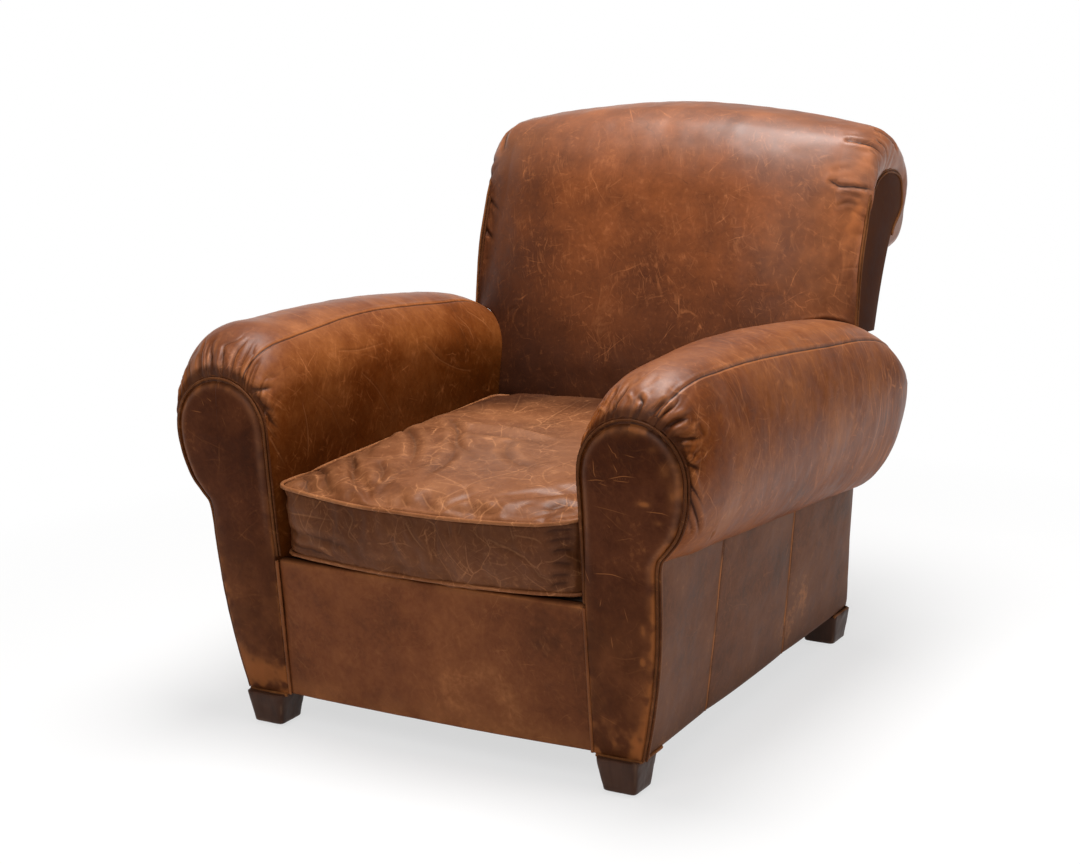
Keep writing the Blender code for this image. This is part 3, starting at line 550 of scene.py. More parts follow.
def grid_object(name, points, material, fields=None, chart=None, caps=True):
    """A closed mesh over a grid: its columns go around, and a fan of faces closes each end row."""
    rows, columns = points.shape[:2]
    index = np.arange(rows * columns).reshape(rows, columns)
    index = np.concatenate([index, index[:, :1]], axis=1)
    quads = grid_quads(index)
    loops = quads.reshape(-1)
    totals = np.full(quads[..., 0].size, 4)
    flat = points.reshape(-1, 3)
    fields = {key: np.broadcast_to(values, (rows, columns)).reshape(-1)
              for key, values in (fields or {}).items()}
    chart = None if chart is None else chart.reshape(-1, 3)
    if caps:
        for row, ring in ((0, index[0]), (rows - 1, index[-1])):
            middle = len(flat)
            flat = np.concatenate([flat, points[row].mean(0)[None]])
            fields = {key: np.append(v, v[row * columns:(row + 1) * columns].mean())
                      for key, v in fields.items()}
            if chart is not None:
                chart = np.concatenate([chart, chart[row * columns][None]])
            pair = (ring[:-1], ring[1:]) if row == 0 else (ring[1:], ring[:-1])
            fan = np.stack([pair[0], pair[1], np.full(len(ring) - 1, middle)], -1)
            loops = np.concatenate([loops, fan.reshape(-1)])
            totals = np.concatenate([totals, np.full(len(fan), 3)])
    mesh = mesh_of(name, flat, loops, totals, fields, chart)
    face_outwards(mesh)
    return new_object(name, mesh, material)


def sheet_object(name, face, inward, thickness, material, fields=None, chart=None):
    """A closed skin from an open grid: the face, and a copy set back along inward, joined at the rim.

    The columns run across the face, wrap back behind it and return, so one grid that goes around
    holds both sides, and the first and last rows are closed.
    """
    back = face + np.asarray(inward) * thickness
    points = np.concatenate([face, back[:, ::-1]], axis=1)
    both = {key: np.concatenate([v, v[:, ::-1]], axis=1) for key, v in (fields or {}).items()}
    wide = None if chart is None else np.concatenate([chart, chart[:, ::-1]], axis=1)
    middle = points * 0.5 + np.concatenate([back, face[:, ::-1]], axis=1) * 0.5
    points = np.concatenate([middle[:1], points, middle[-1:]])
    both = {key: np.concatenate([v[:1], v, v[-1:]]) for key, v in both.items()}
    if wide is not None:
        wide = np.concatenate([wide[:1], wide, wide[-1:]])
    obj = grid_object(name, points, material, both, wide, caps=False)
    merge_close(obj, 1e-6)
    return obj


def merge_close(obj, distance):
    """Welds points that lie on each other, then turns the faces outwards."""
    shape = bmesh.new()
    shape.from_mesh(obj.data)
    bmesh.ops.remove_doubles(shape, verts=shape.verts, dist=distance)
    bmesh.ops.dissolve_degenerate(shape, dist=1e-7, edges=shape.edges)
    shape.to_mesh(obj.data)
    shape.free()
    face_outwards(obj.data)
    obj.data.shade_smooth()


def piping(name, path, radius, material, wear, seed, up=(0.0, 0.0, 1.0), closed=False,
           slot="panel_leather"):
    """A round tube carried along a path: at each point a circle square to the path's direction.

    Two noises along the path vary its radius, and a third varies its wear.
    """
    path = np.asarray(path, float)
    if closed:
        wide = np.concatenate([path[-1:], path, path[:1]])
        tangent = wide[2:] - wide[:-2]
    else:
        tangent = np.gradient(path, axis=0)
    tangent /= np.linalg.norm(tangent, axis=1, keepdims=True)
    side = np.cross(tangent, np.broadcast_to(up, path.shape))
    side /= np.maximum(np.linalg.norm(side, axis=1, keepdims=True), 1e-6)
    top = np.cross(side, tangent)
    turn = np.linspace(0.0, 2.0 * math.pi, PIPING_SIDES, endpoint=False)
    run = run_along(path)
    size = radius * (1.0 + 0.07 * noise(run * 38.0, 0.3, 0.7, seed)
                     + 0.05 * noise(run * 120.0, 0.1, 0.2, seed))
    ring = side[:, None] * np.cos(turn)[None, :, None] + top[:, None] * np.sin(turn)[None, :, None]
    points = path[:, None] + ring * size[:, None, None]
    amount = (0.55 + 0.45 * noise(run * 14.0, 0.9, 0.4, seed)) * wear
    if closed:
        points = np.concatenate([points, points[:1]])
        amount = np.append(amount, amount[0])
    obj = grid_object(name, points, material, {"wear": amount[:, None]}, caps=not closed)
    if closed:
        merge_close(obj, 1e-6)
    return place(obj, slot)


def place(obj, slot, replaces=(), fill=None):
    """Ties a finished piece to the chair's one body and hides the solids it stands for. The slot is not
    used.
    """
    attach(obj, "root")
    if replaces:
        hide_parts(*replaces)
    return obj


# ---------------------------------------------------------------- materials

class Value:
    """A shader socket that adds a Math node for each operator used on it."""

    def __init__(self, tree, socket):
        self.tree = tree
        self.socket = socket

    def math(self, operation, *others):
        node = self.tree.nodes.new("ShaderNodeMath")
        node.operation = operation
        for slot, value in zip(node.inputs, (self, *others)):
            if isinstance(value, Value):
                self.tree.links.new(value.socket, slot)
            else:
                slot.default_value = value
        return Value(self.tree, node.outputs[0])

    def __add__(self, other):
        return self.math("ADD", other)

    __radd__ = __add__

    def __mul__(self, other):
        return self.math("MULTIPLY", other)

    __rmul__ = __mul__

    def __sub__(self, other):
        return self.math("SUBTRACT", other)

    def __rsub__(self, other):
        return (self * -1.0).math("ADD", other)

    def clamped(self):
        node = self.math("MAXIMUM", 0.0)
        return node.math("MINIMUM", 1.0)

    def above(self, low, high):
        """0 below low, 1 above high and even in between; the other way round where low is above high."""
        return ((self - low) * (1.0 / (high - low))).clamped()


class Finish:
    """A new material, with short ways to add its nodes."""

    def __init__(self, name):
        self.material = bpy.data.materials.new(name)
        self.material.use_nodes = True
        self.tree = self.material.node_tree
        self.shader = self.tree.nodes["Principled BSDF"]

    def node(self, kind, settings=None, **sockets):
        """Adds a node: its settings first, then the value or link of each socket, by name."""
        node = self.tree.nodes.new(kind)
        for key, value in (settings or {}).items():
            setattr(node, key, value)
        for key, value in sockets.items():
            self.feed(node.inputs[int(key[1:])] if key[0] == "_" else node.inputs[key], value)
        return node

    def feed(self, socket, value):
        """Links a value or an output to the socket, or sets the socket to a plain number or vector."""
        if isinstance(value, Value):
            self.tree.links.new(value.socket, socket)
        elif isinstance(value, bpy.types.NodeSocket):
            self.tree.links.new(value, socket)
        else:
            socket.default_value = value

    def place(self):
        return self.node("ShaderNodeTexCoord").outputs["Object"]

    def field(self, name):
        """A number stored on the mesh's points, 0 where the mesh has none of this name."""
        node = self.node("ShaderNodeAttribute", {"attribute_name": name})
        return Value(self.tree, node.outputs["Fac"])

    def chart(self):
        return self.node("ShaderNodeAttribute", {"attribute_name": "chart"}).outputs["Vector"]

    def scaled(self, vector, scale, turn=(0.0, 0.0, 0.0)):
        return self.node("ShaderNodeMapping", Vector=vector, Scale=scale, Rotation=turn).outputs[0]

    def turned(self, vector, turn):
        return self.scaled(vector, (1.0, 1.0, 1.0), turn)

    def vector_math(self, operation, first, *others):
        """A Vector Math node, its inputs given in order."""
        inputs = {f"_{number}": value for number, value in enumerate((first, *others))}
        return self.node("ShaderNodeVectorMath", {"operation": operation}, **inputs)

    def warped(self, vector, scale, amount):
        """The vector pushed about by a noise, for patterns that shouldn't run straight."""
        cloud = self.node("ShaderNodeTexNoise", Vector=vector, Scale=scale, Detail=2.0).outputs["Color"]
        shift = self.vector_math("MULTIPLY_ADD", cloud, (amount,) * 3, vector)
        return self.vector_math("SUBTRACT", shift.outputs[0], (amount / 2,) * 3).outputs[0]

    def noise(self, vector, scale, detail=4.0, roughness=0.55, distortion=0.0):
        """A noise texture's value, from 0 to 1 and mostly near a half."""
        node = self.node("ShaderNodeTexNoise", Vector=vector, Scale=scale, Detail=detail,
                         Roughness=roughness, Distortion=distortion)
        return Value(self.tree, node.outputs["Fac"])

    def scratches(self, vector, scale, width):
        """One faint straight stroke in each cell, 1 on it: a thin slice through the cell's centre.

        The cell's random colour turns the slice, and the distance from the centre fades it out.
        """
        cell = self.node("ShaderNodeTexVoronoi", {"feature": "F1"}, Vector=vector, Scale=scale)
        away = self.vector_math("SUBTRACT", vector, cell.outputs["Position"]).outputs[0]
        turn = self.vector_math("SUBTRACT", cell.outputs["Color"], (0.5, 0.5, 0.5)).outputs[0]
        turn = self.vector_math("NORMALIZE", turn).outputs[0]
        off = Value(self.tree, self.vector_math("DOT_PRODUCT", away, turn).outputs["Value"])
        fade = Value(self.tree, cell.outputs["Distance"]).above(0.60, 0.25)
        return off.math("ABSOLUTE").above(width, width * 0.25) * fade

    def cells(self, vector, scale):
        """The distance to the nearest border between cells."""
        node = self.node("ShaderNodeTexVoronoi", {"feature": "DISTANCE_TO_EDGE"}, Vector=vector, Scale=scale)
        return Value(self.tree, node.outputs["Distance"])

    def ramp(self, factor, stops):
        node = self.node("ShaderNodeValToRGB", Fac=factor)
        ramp = node.color_ramp
        while len(ramp.elements) < len(stops):
            ramp.elements.new(0.5)
        for element, (at, color) in zip(ramp.elements, stops):
            element.position = at
            element.color = (*color, 1.0)
        return node.outputs["Color"]

    def mix(self, factor, a, b, blend="MIX"):
        """Colour a turned to colour b by the factor."""
        node = self.node("ShaderNodeMix", {"data_type": "RGBA", "blend_type": blend, "clamp_factor": True})
        self.feed(node.inputs["Factor"], factor)
        self.feed(node.inputs[6], (*a, 1.0) if isinstance(a, tuple) else a)
        self.feed(node.inputs[7], (*b, 1.0) if isinstance(b, tuple) else b)
        return node.outputs[2]

    def bump(self, height, distance, strength):
        return self.node("ShaderNodeBump", Height=height, Distance=distance, Strength=strength).outputs[0]

    def shade(self, color, roughness, normal=None, metallic=0.0, coat=0.0, coat_roughness=0.3,
              specular=0.5, sheen=0.0):
        """Links what varies, and sets what doesn't on the shader's own sockets."""
        self.feed(self.shader.inputs["Base Color"], (*color, 1.0) if isinstance(color, tuple) else color)
        self.feed(self.shader.inputs["Roughness"], roughness)
        self.shader.inputs["Metallic"].default_value = metallic
        self.feed(self.shader.inputs["Coat Weight"], coat)
        self.shader.inputs["Coat Roughness"].default_value = coat_roughness
        self.shader.inputs["Specular IOR Level"].default_value = specular
        self.shader.inputs["Sheen Weight"].default_value = sheen
        if normal is not None:
            self.feed(self.shader.inputs["Normal"], normal)
        return self.material


def leather(name, dark, base, light, tan, crackle=0.0, scuff=1.0, gloss=0.40, stretch=0.0, tone=0.0,
            contrast=1.0, shine=0.25, nib=0.0018, film=0.45):
    """Waxed pull-up leather: clouded dye, thin scratches in every direction, and worn edges.

    Wide clouds, mottles and flecks pick the dye's depth. Layers of short straight strokes, broken up by
    patches, draw pale and sunk scratches, stretched noises draw streaks, and where crackle is above 0
    cell borders draw cracks. From the piece come a field of wear, which in places is a painted highlight
    on ridges and lit parts, and a field of painted shade in creases, recesses and shaded parts, with
    dirt in places; gleam for the wax on rubbed leather, pull for the strands of stretched leather, line
    for pale strokes, and a field of thin dark strokes of painted shade along creases and seams, with a
    painted highlight along one side, both drawn where gap crosses 0. shine is the base's own reflection,
    film is the wax's roughness, and nib is half a pale stroke's width.
    """
    look = Finish(name)
    here = look.place()
    bent = look.warped(here, 9.0, 0.045)
    fine_bent = look.warped(here, 42.0, 0.012)
    clouds = look.noise(bent, 6.0, 3.0, 0.55)
    blotch = look.noise(bent, 20.0, 4.0, 0.55, 0.3)
    fleck = look.noise(fine_bent, 110.0, 5.0, 0.65)
    patch_a = look.noise(look.turned(here, (0.3, 0.9, 0.2)), 16.0, 4.0, 0.6)
    patch_b = look.noise(look.turned(here, (1.4, 0.2, 2.1)), 30.0, 4.0, 0.6)
    # Worn leather, and in places a painted highlight on ridges and lit parts.
    wear = look.field("wear")
    # Painted shade in creases, recesses and shaded parts, and dirt in places.
    dirt = look.field("dirt")
    across = look.field("gap")
    beside = across.math("ABSOLUTE")
    line = beside.above(nib, nib * 0.25) * look.field("line")
    # A thin dark stroke of painted shade along creases and seams, with a painted highlight (glint) beside
    # it.
    crease = look.field("cut")
    cut = beside.above(0.0020, 0.0004) * crease
    glint = (across - 0.0036).math("ABSOLUTE").above(0.0022, 0.0004) * crease
    depth = 0.5 + tone + ((clouds - 0.5) * 0.90 + (blotch - 0.5) * 0.38 + (fleck - 0.5) * 0.40) * contrast
    color = look.ramp(depth.clamped(), ((0.12, dark), (0.45, base), (0.68, light), (1.0, tan)))

    marks = 0.0
    for at, patch, scale, width, amount in (
            (bent, patch_a, 10.0, 0.0011, 0.46), (bent, patch_b, 15.0, 0.0010, 0.42),
            (fine_bent, patch_a, 25.0, 0.0010, 0.38), (bent, patch_b, 37.0, 0.0008, 0.32),
            (fine_bent, patch_a, 64.0, 0.0007, 0.24)):
        marks = look.scratches(at, scale, width) * (patch.above(0.46, 0.64) * amount) + marks
    marks = marks * scuff
    for stretch_by, turn, patch in (((150.0, 140.0, 16.0), (0.5, 0.3, 0.4), patch_a),
                                    ((120.0, 130.0, 13.0), (-0.6, 0.5, 0.2), patch_b)):
        streak = look.noise(look.scaled(look.turned(bent, turn), stretch_by), 1.0, 3.0, 0.6)
        marks = marks + streak.above(0.56, 0.72) * patch.above(0.42, 0.60) * 0.28 * scuff
    sunk = look.scratches(fine_bent, 19.0, 0.0009) * patch_b.above(0.52, 0.42) * scuff * 0.4
    lines = marks * 0.4
    if crackle:
        cracks = look.cells(bent, 17.0).above(0.020, 0.003) * patch_a.above(0.44, 0.52) * 0.8
        cracks = cracks + look.cells(fine_bent, 44.0).above(0.035, 0.005) * patch_b.above(0.46, 0.6) * 0.5
        marks = marks + cracks * (1.0 - dirt * 0.75) * crackle
    # The pale mix holds real marks and wear, and the painted highlights beside creases and on ridges.
    pale = marks + line * 0.95 + glint * 0.45 + wear * (0.25 + blotch * 0.75)
    if stretch:
        chart = look.chart()
        pulled = look.noise(look.scaled(chart, (190.0, 5.0, 1.0), (0.0, 0.0, 0.10)), 1.0, 4.0, 0.6, 0.4)
        long_chart = look.scaled(look.warped(chart, 8.0, 0.03), (1.0, 0.22, 1.0))
        strands = (pulled.above(0.55, 0.68) * 0.6 + look.scratches(long_chart, 36.0, 0.0009)
                   + look.scratches(long_chart, 62.0, 0.0008)) * look.field("pull")
        pale = pale + strands * stretch
        lines = lines + strands * 0.5
    color = look.mix(sunk.clamped(), color, dark)
    color = look.mix(pale.clamped() * 0.80, color, tan)
    # The worn tan, also the colour of the painted highlights where the wear field is strong.
    worn = (tan[0] * 1.10, tan[1] * 0.90, tan[2] * 0.62)
    color = look.mix((wear - 0.50 + (blotch - 0.5) * 0.6).clamped() * 0.6, color, worn)
    # The darkening colour and its mask: painted shade, and dirt in places.
    grime = (dark[0] * 0.45, dark[1] * 0.42, dark[2] * 0.42)
    shade_and_soil = dirt * (0.65 + 0.5 * blotch) - marks * 0.5 + cut
    color = look.mix(shade_and_soil.clamped() * 0.88, color, grime)
    roughness = gloss + (blotch - 0.5) * 0.30 + (fleck - 0.5) * 0.20 + lines * 0.12 + dirt * 0.20
    height = (blotch - 0.5) * 0.35 + fleck * 0.25 + look.noise(here, 420.0, 1.0) * 0.12
    gleam = look.field("gleam") * (1.0 - dirt * 0.7)
    return look.shade(color, roughness.clamped(), look.bump(height, 0.0009, 0.7), specular=shine,
                      coat=gleam, coat_roughness=film)


def dark_wood(name):
    """Stained hardwood: long stretched noise for grain, with lighter rubbed edges."""
    look = Finish(name)
    here = look.place()
    grain = look.noise(look.scaled(here, (90.0, 90.0, 7.0)), 1.0, 6.0, 0.6, 0.8)
    cloud = look.noise(here, 25.0, 4.0)
    color = look.ramp((grain * 0.6 + cloud * 0.4).clamped(),
                      ((0.25, (0.030, 0.013, 0.008)), (0.55, (0.062, 0.026, 0.015)),
                       (0.85, (0.070, 0.034, 0.022))))
    color = look.mix((look.field("wear") * (0.4 + cloud)).clamped() * 0.6, color, (0.16, 0.085, 0.05))
    return look.shade(color, (0.38 + (cloud - 0.5) * 0.3).clamped(), look.bump(grain, 0.0005, 0.5),
                      specular=0.12)


def raw_timber(name):
    """Pale sawn timber: noise stretched along the boards."""
    look = Finish(name)
    here = look.place()
    grain = look.noise(look.scaled(here, (9.0, 70.0, 60.0)), 1.0, 6.0, 0.62, 1.2)
    color = look.ramp(grain, ((0.3, (0.36, 0.22, 0.11)), (0.55, (0.50, 0.34, 0.19)),
                              (0.8, (0.60, 0.44, 0.27))))
    return look.shade(color, (0.62 + grain * 0.2).clamped(), look.bump(grain, 0.0006, 0.6))


def plain_steel(name):
    """Dull steel with smudges in its colour and roughness."""
    look = Finish(name)
    here = look.place()
    smudge = look.noise(here, 60.0, 4.0)
    color = look.ramp(smudge, ((0.3, (0.30, 0.29, 0.28)), (0.7, (0.46, 0.45, 0.44))))
    return look.shade(color, (0.28 + smudge * 0.3).clamped(), metallic=1.0)


def moulded_nylon(name):
    """Dark nylon under fine grime."""
    look = Finish(name)
    grime = look.noise(look.place(), 160.0, 4.0)
    color = look.ramp(grime, ((0.3, (0.022, 0.019, 0.017)), (0.8, (0.060, 0.052, 0.045))))
    return look.shade(color, (0.42 + grime * 0.25).clamped(), look.bump(grime, 0.0003, 0.5))


def woven_cloth(name, low, high, pitch):
    """Plain weave: two crossed waves lift the threads, and noise varies their dye."""
    look = Finish(name)
    here = look.place()
    split = look.node("ShaderNodeSeparateXYZ", Vector=here)
    x, y = [Value(look.tree, split.outputs[i]) for i in (0, 1)]
    over = (x * (2 * math.pi / pitch)).math("SINE")
    under = (y * (2 * math.pi / pitch)).math("SINE")
    weave = over * under * 0.5 + 0.5
    cloud = look.noise(here, 40.0, 4.0)
    color = look.ramp((weave * 0.5 + cloud * 0.5).clamped(), ((0.2, low), (0.8, high)))
    return look.shade(color, 0.85, look.bump(weave, 0.0004, 0.6), specular=0.2, sheen=0.1)


def seen_ray(tree):
    """1 on a ray from the camera, or on one in a reflection or through glass, and 0 on a light's."""
    path = tree.nodes.new("ShaderNodeLightPath")
    seen = Value(tree, path.outputs["Is Camera Ray"])
    for other in ("Is Glossy Ray", "Is Transmission Ray"):
        seen = seen.math("MAXIMUM", Value(tree, path.outputs[other]))
    return seen


def pale_floor(name):
    """A pale floor that keeps the chair's shadow near it and fades to plain white further off."""
    look = Finish(name)
    split = look.node("ShaderNodeSeparateXYZ", Vector=look.place())
    x, y = [Value(look.tree, split.outputs[i]) for i in (0, 1)]
    away = (x * x + y * y).math("SQRT").above(0.7, 1.6)
    seen = seen_ray(look.tree)
    look.shade((0.90, 0.89, 0.88), 0.7, specular=0.1)
    glow = look.node("ShaderNodeEmission", Color=(1.0, 1.0, 1.0, 1.0), Strength=1.0)
    both = look.node("ShaderNodeMixShader", Fac=seen * (away * 0.35 + 0.65), _1=look.shader.outputs[0],
                     _2=glow.outputs[0])
    look.tree.links.new(both.outputs[0], look.tree.nodes["Material Output"].inputs["Surface"])
    return look.material


# ---------------------------------------------------------------- shared shapes

def side_name(name, side):
    return name + ("_right" if side > 0 else "_left")


def mirrored(points, side):
    return points * np.array([side, 1.0, 1.0])


def seeded(a, b, seed):
    """Places for a noise: two coordinates and the seed as the third."""
    return np.stack([a, b + 0.0 * a, np.full_like(a, seed)], -1)


def padded_fields(p, q, extra, strokes, **fields):
    """The fields, the strokes and the chart (p, q), each repeated over extra columns at its edges."""
    columns = ((0, 0), extra)
    fields = {key: np.pad(values, columns, "edge") for key, values in {**fields, **strokes}.items()}
    return fields, np.pad(np.stack([p, q, 0.0 * p], -1), (*columns, (0, 0)), "edge")


def front_plane(z):
    """The y of the front covers at this height."""
    return FRONT_Y + FRONT_LEAN * np.maximum(0.0, LEAN_START_Z - z)


def rear_plane(z):
    """The y of the outside back at this height."""
    return REAR_PLANE_Y + RAKE * np.maximum(0.0, z - RAKE_START_Z)


def packed(low, high, count, places=(), extra=4.0, width=0.01):
    """Values from low to high that lie closer together near these places."""
    fine = np.linspace(low, high, 4001)
    density = np.ones_like(fine)
    for place_at in places:
        density += extra * hump(fine, place_at, width)
    total = np.concatenate([[0.0], np.cumsum((density[1:] + density[:-1]) / 2)])
    return np.interp(np.linspace(0.0, total[-1], count), total, fine)


def panel_edge(turn):
    """The arm front panel's edge over its round head, as (x, z), from 0 outside to pi inside."""
    return (HEAD_CENTRE[0] + HEAD_SIZE[0] * np.cos(turn), HEAD_CENTRE[1] + HEAD_SIZE[1] * np.sin(turn))


# ---------------------------------------------------------------- arm front panels

def make_front_panel(side, material, seed, lines):
    """A shallow pillow between the panel's edges.

    Below the head a row runs across at one height. In the head a row runs in from the edge to the
    head's centre and out to the edge again, and the rows turn up until both halves meet. The face
    is the leaning plane with a low crown, rounded off and wrapped back at its edges.
    """
    foot_rows, head_rows, half = 230, 90, 34
    z = np.linspace(BASE_Z, HEAD_CENTRE[1], foot_rows)
    turn = np.linspace(0.0, math.pi / 2, head_rows)[1:]
    inner = np.stack([spline(PANEL_INNER, z), z], 1)
    outer = np.stack([spline(PANEL_OUTER, z), z], 1)
    inner = np.concatenate([inner, np.stack(panel_edge(math.pi - turn), 1)])
    outer = np.concatenate([outer, np.stack(panel_edge(turn), 1)])
    middle = (inner + outer) / 2
    middle[foot_rows:] = HEAD_CENTRE
    share = 1.0 - (1.0 - np.linspace(0.0, 1.0, half)) ** 1.6
    share = np.concatenate([-share[::-1], share[1:]])
    edge = np.where(share[None, :, None] < 0, inner[:, None], outer[:, None])
    flat = middle[:, None] + (edge - middle[:, None]) * np.abs(share)[None, :, None]
    reach = np.linalg.norm(edge - middle[:, None], axis=-1)
    gap = reach * (1.0 - np.abs(share))[None, :]
    x, z = flat[..., 0], flat[..., 1]
    crown = PANEL_CROWN * (1.0 - share[None, :] ** 2) ** 0.8 * ease(0.0, 0.05, z - BASE_Z)
    round_here = PANEL_ROUND * (0.25 + 0.75 * ease(0.30, 0.44, z))
    turned = round_here * (1.0 - np.sqrt(1.0 - (1.0 - unit(gap / round_here)) ** 2))
    here = seeded(x, z, seed)
    y = front_plane(z) - crown + turned + 0.0005 * rough_noise(here, 22.0, seed, 2) * ease(0.0, 0.02, gap)
    face = np.stack([x, y + PANEL_SET, z], -1)
    depths = np.array([0.004, 0.012])
    wraps = [face[:, k][:, None] + np.array([0.0, 1.0, 0.0]) * depths[None, :, None] for k in (0, -1)]
    points = np.concatenate([wraps[0][:, ::-1], face, wraps[1]], axis=1)
    strokes, ridge = folds(x, z, lines)[2:]
    patchy = unit(0.45 + 0.9 * rough_noise(here, 22.0, seed + 5, 3))
    outer_side = ease(0.0, 0.4, share[None, :])
    rim = 0.7 * hump(gap, 0.0, 0.004) + 0.6 * hump(gap, 0.0, 0.012) * outer_side * ease(0.05, 0.12, z)
    # The foot's scuffs, and a lighter band just under the head's top.
    foot = 1.10 * ease(0.150, 0.065, z) + 0.25 * hump(z, HEAD_CENTRE[1] + HEAD_SIZE[1] - 0.014, 0.008)
    patchy = unit(patchy + 0.6 * rough_noise(here, 70.0, seed + 7, 2))
    lift = 0.30 * ease(0.40, 0.20, z) * (0.5 + 0.5 * patchy)
    # The scratch lines' ridges in this wear are a painted highlight.
    wear = (rim + foot) * patchy + lift + 0.3 * ridge
    # A painted highlight along the head's rounded rim, a band about 9 mm in from the edge.
    wear = wear + 0.50 * hump(gap, 0.009, 0.005) * ease(0.30, 0.44, z) * (0.35 + 0.65 * patchy)
    strokes["cut"] = 0.0 * x
    for at_x, at_z, wide, tall, amount in PANEL_SPOTS:
        if side > 0:
            wear = wear + amount * hump(x, at_x, wide) * hump(z, at_z, tall) * (0.6 + patchy)
    wear = unit(wear)
    # Painted shade in the groove along the panel's edge, beside the piping.
    dirt = 0.55 * hump(gap, 0.0, 0.0022)
    gleam = 0.22 * hump(gap, 0.009, 0.005) * ease(0.28, 0.42, z)
    fields, chart = padded_fields(x, z, (2, 2), strokes, wear=wear, dirt=dirt, gleam=gleam)
    obj = grid_object(side_name("front_panel", side), mirrored(points, side), material, fields, chart)
    merge_close(obj, 1e-5)
    place(obj, "panel_leather", (side_name("arm_front_panel", side),))


def panel_outline(count):
    """The panel's edge from the inner foot up, over the head and down to the outer foot, as (x, z)."""
    up = np.linspace(BASE_Z, HEAD_CENTRE[1], 90)
    turn = np.linspace(math.pi, 0.0, 90)[1:]
    line = np.concatenate([np.stack([spline(PANEL_INNER, up), up], 1), np.stack(panel_edge(turn), 1),
                           np.stack([spline(PANEL_OUTER, up[:-1]), up[:-1]], 1)[::-1]])
    run = run_along(line)
    at = np.linspace(0.0, run[-1], count)
    return np.stack([np.interp(at, run, axis) for axis in line.T], 1)


def beside_line(line):
    """The unit direction square to a flat path at each of its points, on its left."""
    along = np.gradient(line, axis=0)
    return np.stack([-along[:, 1], along[:, 0]], 1) / np.linalg.norm(along, axis=1, keepdims=True)


def make_panel_piping(side, material, seed):
    """Two rows of piping round the front panel, from the inner side over the head to the outer foot."""
    line = panel_outline(560)
    line = line[np.argmax(line[:, 1] > PIPING_START_Z):]
    out = beside_line(line)
    for name, offset, setback, radius, wear in PANEL_PIPINGS:
        path = line + out * offset
        wave = 0.0006 * noise(np.arange(len(path)) * 0.11, 0.2, 0.4, seed)
        points = np.stack([path[:, 0], front_plane(path[:, 1]) + setback + wave, path[:, 1]], 1)
        piping(side_name(name, side), mirrored(points, side), radius, material, wear, seed, FORWARD)


# ---------------------------------------------------------------- arm pads

def arm_section(y):
    """The arm pad's section at each y: crest, widest point's height, underside, half width and centre."""
    end = unit((y - ARM_END_Y) / (ARM_REAR_Y - ARM_END_Y))
    crest = spline(ARM_CREST, y)
    out_z = np.minimum(spline(ARM_OUT, y), crest - 0.02)
    low_z = ARM_LOW_Z + ARM_LOW_SLOPE * y + 0.060 * end ** 2
    half = ARM_HALF_WIDTH - 0.011 * end ** 2
    centre = ARM_CENTRE_X - 0.011 * end ** 2 + 0.0 * y
    return crest, out_z, low_z, half, centre


